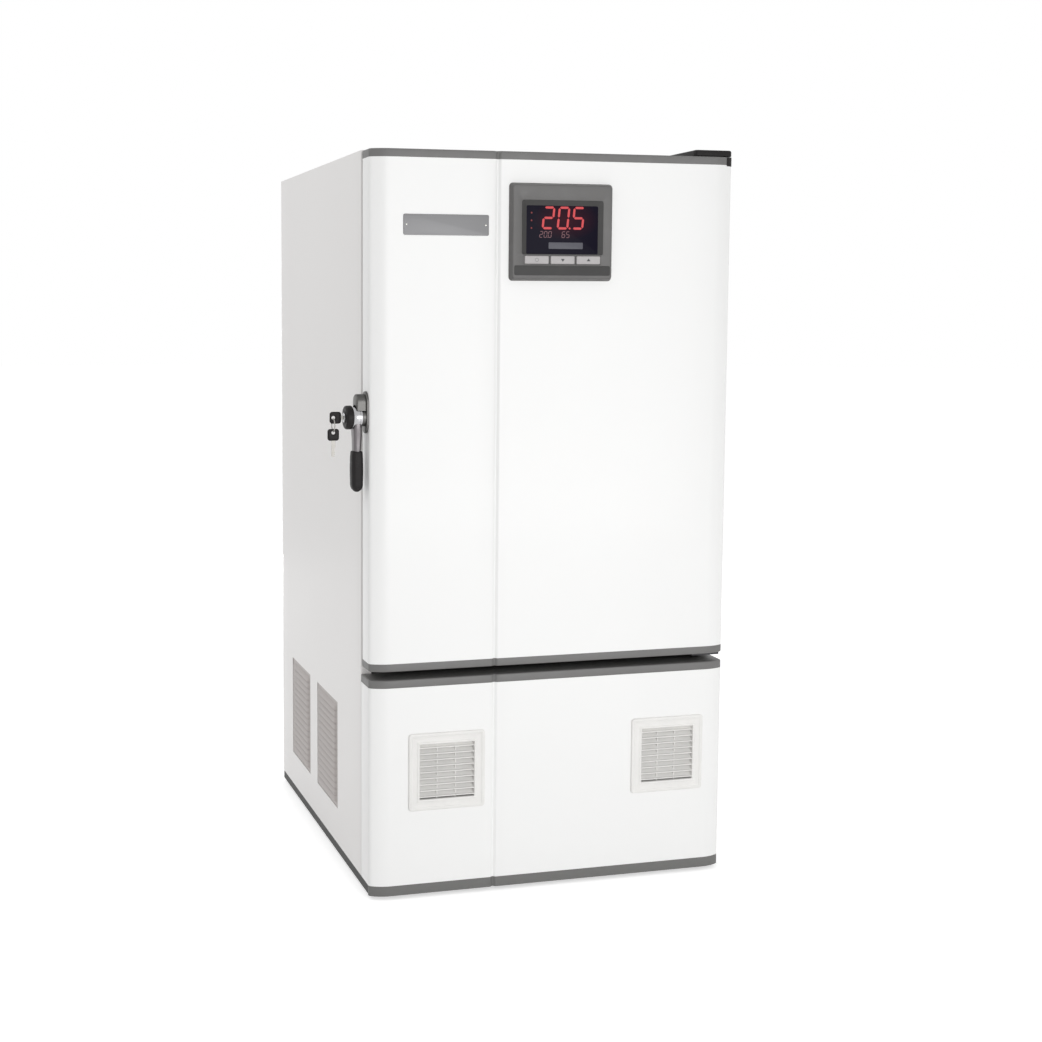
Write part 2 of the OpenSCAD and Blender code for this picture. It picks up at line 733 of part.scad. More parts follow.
module air_fan_motor() color("dimgray") translate([0, 0, fan_z]) {
    y_bar(motor_y[0], motor_y[1], 26);
    y_bar(fan_y + 6, motor_y[0] + 1, shaft_r);
    for (a = [45, 135]) rotate([0, a, 0]) block([-92, motor_y[0] + 6, -6], [92, motor_y[0] + 9, 6]);
    for (a = [45:90:315]) rotate([0, a, 0]) block([84, duct_y + duct_t, -6], [92, motor_y[0] + 9, 6]);
}

// Fan: tilted flat blades cut to a circle, on a hub that turns on the shaft
module fan(blades, r, hub_r, hub_l, pitch, bore) {
    difference() {
        union() {
            y_bar(0, hub_l, hub_r);
            intersection() {
                y_bar(-1, hub_l + 1, r);
                for (k = [0:blades - 1]) rotate([0, k * 360 / blades, 0])
                    translate([hub_r - 2, hub_l / 2, 0])
                        rotate([pitch, 0, 0]) block([0, -0.8, -r * 0.3], [r, 0.8, r * 0.3]);
            }
        }
        y_bar(-2, hub_l + 2, bore);
    }
}

module air_fan_blade() color("white") translate([0, fan_y, fan_z])
    fan(5, fan_r, 16, 20, 25, shaft_r + running);

// Sheathed heater: a ring round the fan with two terminals through brackets
module heater() color("slategray") translate([0, duct_y + 52, fan_z]) {
    rotate([90, 0, 0]) rotate_extrude() translate([fan_r + 28, 0]) circle(4, $fn = 24);
    for (a = [0, 90, 180, 270]) rotate([0, a, 0])
        block([fan_r + 24, 0, -5], [fan_r + 32, inner_y1 - duct_y - 52, 5]);
}

// Hermetic compressor: a pressed can with a weld flange, feet on grommets, a terminal box and stubs
module compressor() color([0.13, 0.13, 0.14]) translate([can_at[0], can_at[1], 0]) {
    difference() {
        union() {
            translate([0, 0, can_z]) can(0);
            translate([0, 0, can_z + can_h * 0.55]) cylinder(h = 8, r = can_r + 5);
            block([-can_base[0], -can_base[1], can_z + 4], [can_base[0], can_base[1], can_z + 7]);
        }
        translate([0, 0, can_z]) can(3);
    }
    for (x = [-1, 1], y = [-1, 1])
        translate([x * (can_base[0] - 14), y * (can_base[1] - 14), case_z]) rotate_extrude() {
            square([grommet_r - 3, can_z + 4 - case_z]);
            square([grommet_r, 8]);
            translate([0, 12]) square([grommet_r, can_z - 8 - case_z]);
        }
    block([can_r - 8, -34, can_z + 60], [can_r + 36, 34, can_z + 130]);
}

can_low_r = 26;
can_high_r = 40;
grommet_r = 13;

module can(wall) rotate_extrude() intersection() {
    union() {
        translate([0, can_low_r + wall]) square([can_r - wall, can_h - can_low_r - can_high_r - 2 * wall]);
        translate([0, wall]) square([can_r - can_high_r, can_h - 2 * wall]);
        translate([0, wall]) square([can_r - can_low_r, can_h / 2]);
        translate([can_r - can_low_r, can_low_r]) circle(can_low_r - wall);
        translate([can_r - can_high_r, can_h - can_high_r]) circle(can_high_r - wall);
    }
    square([can_r, can_h]);
}

// Finned condenser with return bends, on feet
module condenser() color("gray") {
    fin_block([coil_x[0], coil_y[0], coil_z[0]], [coil_x[1], coil_y[1], coil_z[1]], 36);
    for (s = [0, 1]) return_bends(2 * s - 1, coil_x[s], coil_y, coil_z);
    for (x = [coil_x[0] + 20, coil_x[1] - 20])
        block([x - coil_foot / 2, coil_y[0] + 4, case_z], [x + coil_foot / 2, coil_y[1], coil_z[0]]);
}

// Shroud and motor behind the condenser
coil_motor_y = [shroud_y[1] + 26, shroud_y[1] + 84];
coil_motor_r = 36;

module condenser_fan_motor() color("dimgray") {
    difference() {
        block([coil_x[0], shroud_y[0], coil_z[0]], [coil_x[1], shroud_y[1], coil_z[1]]);
        block([coil_x[0] + 2, shroud_y[0] - 1, coil_z[0] + 2],
              [coil_x[1] - 2, shroud_y[1] - 2, coil_z[1] - 2]);
        translate([coil_fan_x, 0, coil_fan_z]) y_bar(shroud_y[0], shroud_y[1] + 2, coil_fan_r + 6);
    }
    translate([coil_fan_x, 0, coil_fan_z]) {
        y_bar(coil_motor_y[0], coil_motor_y[1], coil_motor_r);
        y_bar(shroud_y[1] - 6, coil_motor_y[0] + 1, 4);
        for (a = [45:90:315]) rotate([0, a, 0]) {
            block([coil_motor_r - 6, coil_motor_y[0] + 4, -5], [coil_fan_r + 16, coil_motor_y[0] + 7, 5]);
            block([coil_fan_r + 12, shroud_y[1] - 1, -5], [coil_fan_r + 16, coil_motor_y[0] + 7, 5]);
        }
    }
}

module condenser_fan_blade() color("white") translate([coil_fan_x, shroud_y[1] - 10, coil_fan_z])
    fan(5, coil_fan_r, 24, 26, 28, 4 + running);

// Copper lines: discharge to the condenser, liquid through the drier, and suction from the evaporator
line_r = 4;
line_way = line_r + 3;
line_x = [-140, 150];
line_bend = 12;
drier_y = coil_y[1] + 200;
drier_l = 90;
line_y = body_d - back_t / 2;
line_z = evap_z[0] - 30;
drain_r = 8;

module refrigerant_lines() color("peru") {
    can_top = can_z + can_h;
    roof = deck_z - 30;
    pipe([[can_at[0] - 40, can_at[1], can_top], [can_at[0] - 40, can_at[1], roof],
          [coil_x[1] + 30, can_at[1], roof], [coil_x[1] + 30, coil_y[0] + 22, roof],
          [coil_x[1] + 30, coil_y[0] + 22, coil_z[1] - 6], [coil_x[1], coil_y[0] + 22, coil_z[1] - 6]],
         line_r, line_bend);
    pipe([[can_at[0] + 40, can_at[1], can_top], [can_at[0] + 40, can_at[1], roof + 8],
          [can_at[0] + 40, line_y, roof + 8], [line_x[1], line_y, roof + 8], [line_x[1], line_y, line_z],
          [line_x[1], evap_y[1] - 10, line_z], [line_x[1], evap_y[1] - 10, evap_z[0]]], line_r, line_bend);
    pipe([[coil_x[0], coil_y[0] + 22, coil_z[0] + 6], [coil_x[0] - 30, coil_y[0] + 22, coil_z[0] + 6],
          [coil_x[0] - 30, coil_y[0] + 22, roof - 14], [coil_x[0] - 30, drier_y - 50, roof - 14],
          [line_x[0], drier_y - 50, roof - 14], [line_x[0], line_y, roof - 14], [line_x[0], line_y, line_z],
          [line_x[0], evap_y[1] - 10, line_z], [line_x[0], evap_y[1] - 10, evap_z[0]]], line_r, line_bend);
    translate([line_x[0], drier_y, roof - 14]) rotate([-90, 0, 0]) {
        cylinder(h = drier_l, r = 14);
        translate([0, 0, -12]) cylinder(h = drier_l + 24, r = 7);
    }
}

// Tray that catches and dries the condensate, and the tube that feeds it
module drain_pan() color("darkgray") {
    difference() {
        block([pan_x[0], pan_y[0], case_z], [pan_x[1], pan_y[1], case_z + pan_h]);
        block([pan_x[0] + 2, pan_y[0] + 2, case_z + 2], [pan_x[1] - 2, pan_y[1] - 2, case_z + pan_h + 1]);
    }
    translate([drain_at[0], drain_at[1], case_z + 2]) difference() {
        cylinder(h = chamber_z0 - case_z - 2, r = drain_r);
        translate([0, 0, -1]) cylinder(h = chamber_z0 - case_z, r = drain_r - 2);
        block([-drain_r - 1, -3, -1], [drain_r + 1, 3, 12]);
    }
}

// Electrical box: a tray with a lid, two glands and a row of relays
gland_y = [ebox_y[0] + 50, ebox_y[1] - 50];
gland_r = 8;
relay_pitch = 28;
ebox_foot = 16;

module control_box() color("lightgray") {
    difference() {
        block([ebox_x[0], ebox_y[0], ebox_z[0]], [ebox_x[1], ebox_y[1], ebox_z[1]]);
        block([ebox_x[0] + 2, ebox_y[0] + 2, ebox_z[0] + 2], [ebox_x[1] - 2, ebox_y[1] - 2, ebox_z[1] - 2]);
        for (y = gland_y) translate([0, y, ebox_z[0] + 40])
            x_bar(ebox_x[1] - 5, ebox_x[1] + 5, gland_r + clear);
    }
    for (y = gland_y) translate([0, y, ebox_z[0] + 40]) {
        x_bar(ebox_x[1], ebox_x[1] + 9, gland_r + 4);
        x_bar(ebox_x[1] - 6, ebox_x[1] + 1, gland_r);
    }
    for (k = [0:4]) translate([ebox_x[0], ebox_y[0] + 42 + k * relay_pitch, ebox_z[0] + 130])
        block([2, 2 - relay_pitch / 2, 0], [50, relay_pitch / 2 - 2, 70]);
    for (x = [ebox_x[0], ebox_x[1] - ebox_foot], y = [ebox_y[0], ebox_y[1] - ebox_foot])
        block([x, y, case_z], [x + ebox_foot, y + ebox_foot, ebox_z[0]]);
}

// Mains inlet: a flanged shell with a recess and three blades
module power_inlet() color([0.1, 0.1, 0.1]) translate([inlet_x, body_d - sheet, inlet_z]) {
    difference() {
        union() {
            block([-23.5, -30, -13.5], [23.5, 1, 13.5]);
            xz_plate(0, 3) round_rect(66, 32, 4);
        }
        xz_plate(-18, 5) polygon([[-12, -8], [12, -8], [12, 4], [8, 8], [-8, 8], [-12, 4]]);
    }
    for (x = [-7, 0, 7]) block([x - 2, -19, -3], [x + 2, 0, 0]);
}

// Top hinge: a plate on the roof with the pin that drops into the door's cap
top_hinge_y = [hinge_back - 18, case_y + 76];

module top_hinge() color(steel) difference() {
    union() {
        block([hinge_x - 56, top_hinge_y[0], body_h],
              [hinge_x + 12, top_hinge_y[1], body_h + hinge_plate_t]);
        translate([hinge_x, hinge_back, door_top - hinge_pin_in])
            cylinder(h = body_h - door_top + hinge_pin_in + 2, r = hinge_pin_r);
    }
    for (p = hinge_screw_points()) translate([p[0], p[1], body_h - 1]) cylinder(h = 10, r = screw_hole_r);
}

// Moulded cover over the top hinge
module hinge_cover() color([0.15, 0.15, 0.15]) difference() {
    translate([side_x + hinge_cover_over - hinge_cover_w / 2, (top_hinge_y[0] + top_hinge_y[1]) / 2, body_h])
        linear_extrude(hinge_cover_h) round_rect(hinge_cover_w, top_hinge_y[1] - top_hinge_y[0] + 10, 6);
    block([hinge_x - 57, top_hinge_y[0] - 1, body_h - 1],
          [hinge_x + 13, top_hinge_y[1] + 1, body_h + hinge_cover_h - 2.5]);
}

// Bottom hinge: a thick plate let into the rail, with the pin that carries the door
bottom_hinge_x = [hinge_x - 46, frame_x];

module bottom_hinge() color(steel) {
    block([bottom_hinge_x[0], hinge_back - 16, plate_z[0]], [hinge_x + 12, case_y - clear, plate_z[1]]);
    block([bottom_hinge_x[0], case_y - 1, plate_z[0]], [bottom_hinge_x[1], case_y + 18, plate_z[1]]);
    translate([hinge_x, hinge_back, plate_z[0] + 1])
        cylinder(h = door_z + hinge_pin_in - plate_z[0] - 1, r = hinge_pin_r);
}

// Pivots of the glass door, on the chamber's floor and roof
module inner_hinges() color(steel) for (z = [inner_z0, inner_z1])
    translate([glass_axis[0], glass_axis[1], z]) mirror([0, 0, z == inner_z0 ? 0 : 1]) {
        block([-12, -5.5, 0], [8, 9, 7]);
        cylinder(h = 14, r = glass_pin_r);
    }

// Strike behind the left flange, which the lock's hook drops into
module keeper_space(wall) block(
    [hook_x[0] - 4.5 + wall, flange_at + sheet, -hook_barb - 6 + wall],
    [flange_w - 0.5 - wall, hook_sweep + 4 - wall, 40 - wall]);

module latch_keeper() color(steel) translate(latch_at) difference() {
    keeper_space(0);
    translate([0, -1, 0]) keeper_space(1);
}

// Screws of the back, of the lower front panel and of the top hinge
module panel_screws() color(steel) {
    for (p = rear_screw_points()) translate([p[0], body_d, p[1]]) rear_screw(2 * sheet);
    for (p = front_screw_points()) translate([p[0], case_y + sheet, p[1]]) rear_screw(2 * sheet);
    for (p = hinge_screw_points()) translate([p[0], p[1], body_h + hinge_plate_t]) rotate([90, 0, 0])
        rear_screw(hinge_plate_t + 8);
}

// Outer door's skin: a folded shell with the groove, the display's window and the latch's holes
module door_skin() color(white) difference() {
    union() {
        front_shell(skin_z0, skin_z1, door_t);
        for (s = [0, 1]) mirror([s, 0, 0])
            block([liner_edge, door_t - sheet, skin_z0], [side_x - 0.5, door_t, skin_z1]);
    }
    block([bezel_x - box_w / 2 - 0.5, -1, bezel_z0 + 6.5], [bezel_x + box_w / 2 + 0.5, 5, bezel_z1 - 6.5]);
    translate(latch_at) x_bar(-2, 5, tube_r + 1);
    translate(latch_at) rear_slot();
}

// Slot in the door's back edge for the lock's hook and the lever's lobe
module rear_slot() block([2, rear_at - 4, -8], [hook_x[1] + 3, rear_at + 1, hook_sweep + 1]);

// End caps of the door, each with a boss round the hinge bush
module hinge_boss(h) translate([hinge_x, hinge_back, 0])
    cylinder(h = h, r = min(bush_r + 4, hinge_inset - 1));

module door_cap() difference() {
    union() {
        end_cap(door_t);
        hinge_boss(cap_h);
    }
    translate([hinge_x, hinge_back, -1]) cylinder(h = cap_h + 2, r = bush_r);
}

module door_top_cap() color(grey) translate([0, 0, skin_z1]) door_cap();

module door_bottom_cap() color(grey) translate([0, 0, skin_z0]) mirror([0, 0, 1]) door_cap();

module hinge_bushes() color("ivory") {
    for (top = [0, 1]) translate([hinge_x, hinge_back, top ? door_top : door_z])
        mirror([0, 0, top ? 0 : 1]) difference() {
            union() {
                cylinder(h = 1.5, r = bush_r + 3);
                translate([0, 0, -cap_h]) cylinder(h = cap_h + 1, r = bush_r);
            }
            translate([0, 0, -cap_h - 1]) cylinder(h = cap_h + 4, r = hinge_pin_r + running);
        }
}

// Liner of the outer door: a pan whose middle is dished to clear the glass door's knob
dish_x = chamber_x - 3;
dish_z = [chamber_z0, chamber_z1];

module dish(wall) block([-dish_x - wall, door_t - dish_depth - wall, dish_z[0] - wall],
                        [dish_x + wall, door_t + (wall > 0 ? 0 : 1), dish_z[1] + wall]);

module door_liner() color(white) difference() {
    union() {
        block([-liner_edge, door_t - sheet, skin_z0], [liner_edge, door_t, skin_z1]);
        dish(sheet);
    }
    dish(0);
    translate(latch_at) rear_slot();
}

module door_foam() color("khaki") difference() {
    translate([0, 0, skin_z0]) linear_extrude(skin_z1 - skin_z0) front_outline(sheet, door_t - sheet);
    dish(sheet);
    block([bezel_x - box_w / 2, 0, bezel_z0 + 7], [bezel_x + box_w / 2, box_d, bezel_z1 - 7]);
    translate(latch_at) latch_case_space();
}

// Magnetic gasket: foot, bellows and head, in a ring
gasket_in = 26;
gasket_w = 26;
gasket_z = [door_z + gasket_in, door_top - gasket_in];

module gasket_layer(y0, y1, trim) ring_plate(
    side_x - gasket_in - trim, gasket_z + [trim, -trim],
    side_x - gasket_in - gasket_w + trim, gasket_z + [gasket_w - trim, trim - gasket_w], y0, y1);

module door_gasket() color("gray") {
    gasket_layer(door_t, door_t + 3, 0);
    gasket_layer(door_t + 2, case_y - 3, 6);
    gasket_layer(case_y - 4, case_y - clear, 2);
}

// Latch body: escutcheon and boss outside, and a case inside the door's edge
module stadium(w, h) {
    square([w, h - w], center = true);
    for (z = [-1, 1]) translate([0, z * (h - w) / 2]) circle(w / 2);
}

latch_case_y = [-17, rear_at - sheet];

module latch_case_space() block([sheet, latch_case_y[0], -case_half], [case_x, latch_case_y[1], case_half]);

module latch_body() color(steel) translate(latch_at) {
    difference() {
        union() {
            yz_plate(-plate_t, 0) translate([0, plate_up]) stadium(plate_w, plate_h);
            x_bar(-boss_x, -1, boss_r);
            difference() {
                yz_plate(-nose_x, -1) translate([0, plate_up]) stadium(plate_w - 8, plate_h - 10);
                x_bar(-nose_x - 1, -boss_x, hub_r + 0.6);
                block([-nose_x - 1, -plate_w, -plate_h], [-boss_x, plate_w, hub_r / 2]);
            }
        }
        x_bar(-nose_x - 2, 5, tube_r + running);
    }
    difference() {
        latch_case_space();
        block([sheet - 1, latch_case_y[0] + 1.2, 1.2 - case_half],
              [case_x - 1.2, latch_case_y[1] - 1.2, case_half - 1.2]);
        rear_slot();
    }
}

// A round boss on the X axis from x0 outwards, with a rounded outer edge
module round_boss(x0, x1, r, edge) translate([-x0, 0, 0]) rotate([0, -90, 0]) rotate_extrude() {
    square([r, x1 - x0 - edge]);
    square([r - edge, x1 - x0]);
    translate([r - edge, x1 - x0 - edge]) circle(edge);
}

// Lever: hub, cap and neck outside, and the tube with the lobe that breaks the seal
lever_swing = 70;
grip_top = grip_len - lever_len;

module lever_tang(gap) block(
    [-neck_x[1] + 4 - gap, -6 - gap, -lever_len + 14 - gap], [-neck_x[0] - 4 + gap, 6 + gap, grip_top + 1]);

module latch_lever() color(steel) translate(latch_at) difference() {
    union() {
        x_bar(-cap_x[0], -boss_x - clear, hub_r);
        round_boss(cap_x[0], cap_x[1], hub_cap_r, 5);
        x_bar(-boss_x - 1, lobe_x[1] + 1, tube_r);
        yz_plate(-neck_x[1], -neck_x[0]) polygon([[-17, 0], [17, 0], [11, grip_top], [-11, grip_top]]);
        lever_tang(0);
        rotate([lever_swing, 0, 0]) yz_plate(lobe_x[0], lobe_x[1]) {
            translate([0, -5]) square([flange_at - clear - 5, 10]);
            translate([flange_at - clear - 5, 0]) circle(5);
        }
    }
    x_bar(-cap_x[1] - 1, lobe_x[1] + 2, lock_r + running);
}

// Grip: a moulded sleeve over the lever's tang, thicker towards its middle
grip_r = 7;

module lever_grip() color([0.12, 0.11, 0.11]) translate(latch_at) difference() {
    hull() {
        for (x = [neck_x[0] + 3, neck_x[1] - 4], y = [-7, 7],
             z = [-lever_len + grip_r, grip_top - grip_r - 14])
            translate([-x, y, z]) sphere(grip_r, $fn = 24);
        for (x = [neck_x[0] + 3, neck_x[1] - 4], y = [-6, 6])
            translate([-x, y, grip_top - 4]) cylinder(h = 4, r = grip_r - 2, $fn = 24);
    }
    lever_tang(0);
}

// Key: a round-cornered bow with an eased hole and a cut blade, its hole at the origin, blade along +X
module key(blade) difference() {
    union() {
        xz_plate(-key_t / 2, key_t / 2) translate([key_bow / 2 - key_hole_in, 0])
            round_rect(key_bow, key_bow, 5);
        block([key_bow - key_hole_in - 1, -1, -4], [key_bow - key_hole_in + blade, 1, 4]);
    }
    for (s = [-90, 90]) rotate([s, 0, 0])
        cylinder(h = key_t / 2 + 0.01, r1 = key_hole_r, r2 = key_hole_r + 2);
    for (k = [0:3]) block([key_bow + 2 + k * 5, -3, 2.2 + 0.6 * (k % 2)], [key_bow + 4 + k * 5, 3, 6]);
}

// Lock: a cylinder with a keyway, its tail and the hook
module lock_cylinder() color(steel) translate(latch_at) difference() {
    union() {
        x_bar(-lock_face, hook_x[0] - 1.5, lock_r);
        x_bar(-lock_face, hook_x[1] + 1.5, 5);
        yz_plate(hook_x[0], hook_x[1]) {
            translate([-hook_arm, 0]) square([2 * hook_arm, hook_len]);
            translate([-hook_arm, hook_len - 6]) square([hook_arm + hook_barb, 6]);
        }
    }
    block([-lock_face - 1, -1 - running, -4 - running], [-lock_face + key_grip, 1 + running, 4 + running]);
}

module lock_key() color([0.1, 0.1, 0.1]) translate(latch_at) translate([-key_hole_x, 0, 0]) key(key_grip);

// Spare key on its ring, hanging from the key in the lock
module spare_key() color([0.1, 0.1, 0.1]) translate(latch_at) translate([-key_hole_x, 0, -ring_drop]) {
    translate([0, 0, -ring_r]) rotate([0, 90, 0]) rotate_extrude()
        translate([ring_r, 0]) circle(ring_wire, $fn = 24);
    translate([0, 0, -2 * ring_r - ring_drop]) rotate([0, 90, 0]) key(key_grip);
}

// Bezel of the controller: a tapered frame outside and a box through the skin
module display_bezel() color("dimgray") translate([bezel_x, 0, (bezel_z0 + bezel_z1) / 2]) difference() {
    union() {
        hull() {
            xz_plate(-1, 0) round_rect(bezel_w, bezel_h, 6);
            xz_plate(-bezel_proud, -bezel_proud + 1) round_rect(bezel_w - 8, bezel_h - 8, 5);
        }
        block([-box_w / 2, -2, -box_h / 2], [box_w / 2, box_d, box_h / 2]);
    }
    difference() {
        block([-box_w / 2 + box_wall, -bezel_proud + bezel_face, -box_h / 2 + box_wall],
              [box_w / 2 - box_wall, box_d - box_wall, box_h / 2 - box_wall]);
        for (x = [-1, 1], z = [-1, 1]) translate([x * (box_w / 2 - 12), 0, z * (box_h / 2 - 12)])
            y_bar(board_y + 1.6, box_d, 4);
    }
    translate([0, 0, -(bezel_z0 + bezel_z1) / 2]) {
        block([-window_w / 2, -bezel_proud - 1, window_z0], [window_w / 2, 0, window_z1]);
        for (k = [0:key_count - 1]) key_block(k, -bezel_proud - 1, 0, clear);
    }
}

// The place of one key, grown by a gap
module key_block(k, y0, y1, gap) {
    x = -window_w / 2 + k * (key_w + key_gap);
    block([x - gap, y0, key_z0 - gap], [x + key_w + gap, y1, key_z0 + key_h + gap]);
}

module display_key(k) color("lightgray") translate([bezel_x, 0, 0]) {
    key_block(k, -bezel_proud - key_proud, -bezel_proud + bezel_face + 1, 0);
    key_block(k, -bezel_proud + bezel_face + clear, -bezel_proud + bezel_face + 2, 1.2);
}

module display_window() color([0.08, 0.06, 0.16]) translate([bezel_x, 0, 0])
    block([-window_w / 2 - 3, -bezel_proud + bezel_face, window_z0 - 1.4],
          [window_w / 2 + 3, -bezel_proud + bezel_face + 2, window_z1 + 3]);

// Controller board: display module, key switches, transformer and relays on a plate
module controller_board() color("darkgreen") translate([bezel_x, 0, 0]) {
    mid = (bezel_z0 + bezel_z1) / 2;
    block([-box_w / 2 + 4, board_y, mid - box_h / 2 + 4],
          [box_w / 2 - 4, board_y + 1.6, mid + box_h / 2 - 4]);
    block([-60, -bezel_proud + bezel_face + 3, window_z0 + 22], [60, board_y, window_z1 - 18]);
    for (k = [0:key_count - 1])
        translate([-window_w / 2 + k * (key_w + key_gap) + key_w / 2, 0, key_z0 + key_h / 2])
            y_bar(-bezel_proud + bezel_face + 2 + key_proud + clear, board_y, 3);
    block([-50, board_y + 1.6, mid - 10], [-10, board_y + 22, mid + 30]);
    for (x = [20, 44]) block([x - 9, board_y + 1.6, mid - 8], [x + 9, board_y + 18, mid + 22]);
    block([-60, board_y + 1.6, mid - 62], [60, board_y + 14, mid - 50]);
}

// Inner door: a glass pane between two pivot shoes, with a knob
knob_x = glass_x0 + 30;
knob_z = (glass_z0 + glass_z1) / 2;
knob_r = 11;

module shoe_space(z, gap) translate([glass_axis[0], glass_axis[1], z]) mirror([0, 0, z == glass_z0 ? 0 : 1])
    block([-30, -5.5 - gap, -2], [glass_x1 - glass_axis[0] + gap, 5.5 + gap, 26]);

module glass_door() color([0.7, 0.85, 0.9, 0.4]) difference() {
    block([glass_x0, glass_y, glass_z0], [glass_x1, glass_y + glass_t, glass_z1]);
    for (z = [glass_z0, glass_z1]) shoe_space(z, 0);
    translate([knob_x, 0, knob_z]) y_bar(glass_y - 1, glass_y + glass_t + 1, 4);
}

module glass_fittings() color(steel) {
    for (z = [glass_z0, glass_z1]) difference() {
        shoe_space(z, -0.01);
        translate([glass_axis[0], glass_axis[1], z]) mirror([0, 0, z == glass_z0 ? 0 : 1])
            translate([0, 0, -3]) cylinder(h = 15, r = glass_pin_r + running);
    }
    translate([knob_x, 0, knob_z]) {
        y_bar(glass_y - 10, glass_y, 6);
        y_bar(glass_y - 20, glass_y - 9, knob_r);
        y_bar(glass_y - 1, glass_y + glass_t + 1, 4);
        y_bar(glass_y + glass_t, glass_y + glass_t + 4, 9);
    }
}

module place() translate(footprint) children();

place() base_frame();
place() levelling_feet();
place() side_panel_left();
place() side_panel_right();
place() top_panel();
place() back_panel();
place() rear_cover();
place() mid_rail();
place() insulation();
place() inner_chamber();
place() face_frame();
place() lower_panel();
place() lower_panel_cap();
place() vent_grilles();
place() side_grilles();
place() shelf_uprights();
place() shelf_clips();
place() air_duct();
place() evaporator();
place() air_fan_motor();
place() heater();
place() compressor();
place() condenser();
place() condenser_fan_motor();
place() refrigerant_lines();
place() drain_pan();
place() control_box();
place() power_inlet();
place() top_hinge();
place() hinge_cover();
place() bottom_hinge();
place() inner_hinges();
place() latch_keeper();
place() panel_screws();
place() door_skin();
place() door_top_cap();
place() door_bottom_cap();
place() door_foam();
place() door_liner();
place() door_gasket();
place() hinge_bushes();
place() latch_body();
place() display_bezel();
place() display_window();
place() controller_board();
place() latch_lever();
place() lever_grip();
place() lock_cylinder();
place() lock_key();
place() spare_key();
place() display_key(0);  // key_set
place() display_key(1);  // key_down
place() display_key(2);  // key_up
place() glass_door();
place() glass_fittings();
place() shelf(0);  // shelf_lower
place() shelf(1);  // shelf_middle
place() shelf(2);  // shelf_upper
place() air_fan_blade();
place() condenser_fan_blade();
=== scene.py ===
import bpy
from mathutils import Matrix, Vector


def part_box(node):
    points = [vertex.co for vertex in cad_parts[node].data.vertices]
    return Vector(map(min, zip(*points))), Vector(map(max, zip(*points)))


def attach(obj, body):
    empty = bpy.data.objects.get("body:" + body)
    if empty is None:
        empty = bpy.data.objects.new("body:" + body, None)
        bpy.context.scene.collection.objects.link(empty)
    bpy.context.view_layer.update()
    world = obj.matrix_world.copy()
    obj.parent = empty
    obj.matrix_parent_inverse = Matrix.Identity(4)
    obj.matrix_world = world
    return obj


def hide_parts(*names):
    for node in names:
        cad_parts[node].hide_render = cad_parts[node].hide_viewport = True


bl_info = {
    "name": "Cooling incubator",
    "version": (1, 0, 0),
    "blender": (4, 5, 0),
    "location": "View3D > Sidebar > Incubator",
    "description": "Dresses the packed cooling incubator with formed sheet, mouldings and finishes",
    "category": "Object",
}

from math import cos, pi, radians, sin

import bmesh
import bpy
import numpy as np
from bpy.props import FloatProperty, FloatVectorProperty, PointerProperty
from mathutils import Euler, Vector

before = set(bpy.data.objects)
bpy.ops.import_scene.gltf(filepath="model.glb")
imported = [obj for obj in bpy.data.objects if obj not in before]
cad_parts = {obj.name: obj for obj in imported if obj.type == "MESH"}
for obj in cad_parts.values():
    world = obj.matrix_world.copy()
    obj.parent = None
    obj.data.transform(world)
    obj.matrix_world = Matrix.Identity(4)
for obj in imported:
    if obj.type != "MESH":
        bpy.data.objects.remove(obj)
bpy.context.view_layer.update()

# Lengths below are millimetres from the middle of the cabinet, the door's face and the floor.
skin_low, skin_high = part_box("door_skin")
MIDDLE = np.array([(skin_low.x + skin_high.x) / 2, skin_low.y, 0.0]) * 1000
HALF = (skin_high.x - skin_low.x) * 500


def corners(node):
    """Lowest and highest corner of a CAD node, in millimetres from the middle, face and floor."""
    low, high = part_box(node)
    return np.array(low) * 1000 - MIDDLE, np.array(high) * 1000 - MIDDLE


DEPTH = corners("base_frame")[1][1]
SKIN_Z = corners("door_skin")[0][2], corners("door_skin")[1][2]
DOOR_BACK = corners("door_skin")[1][1]
CASE_Y = corners("side_panel_left")[0][1]
CASE_Z = corners("side_panel_left")[0][2], corners("side_panel_left")[1][2]

SHEET = 1.5
FRONT_FLANGE, REAR_FLANGE, ROOF_FLANGE, FLANGE_GAP = 20, 16, 20, 0.6
BOW_WIDTH, BOW_DROP = 40, 12
BOW_RADIUS = (BOW_WIDTH ** 2 + BOW_DROP ** 2) / (2 * BOW_DROP)
GROOVE_X, GROOVE_HALF = 243 - HALF, 6.5
CORNER = 5
LOUVRE_WIDE, LOUVRE_WINDOW, LOUVRE_RIM = 190, 91, 4
LATCH = np.array([-HALF, 32.0, 910.0])

# Points that the sheets face away from, and the chamber's towards
IN_CABINET = 0, 430, 700
BEFORE_DOOR = 0, -400, 900

vent_low, vent_high = corners("vent_grilles")
VENT_HALF = 75, (vent_high[2] - vent_low[2]) / 2
VENT_Z = (vent_low[2] + vent_high[2]) / 2
VENT_X = vent_low[0] + VENT_HALF[0], vent_high[0] - VENT_HALF[0]


def length(label, note, default, low, high):
    """A length property with its name, description, default and range, in metres."""
    return FloatProperty(name=label, description=note, default=default, min=low, max=high,
                         unit="LENGTH")


def colour(label, note, value):
    """A colour property with its name, description and default, in linear light."""
    return FloatVectorProperty(name=label, description=note, subtype="COLOR", size=3, min=0, max=1,
                               default=value)


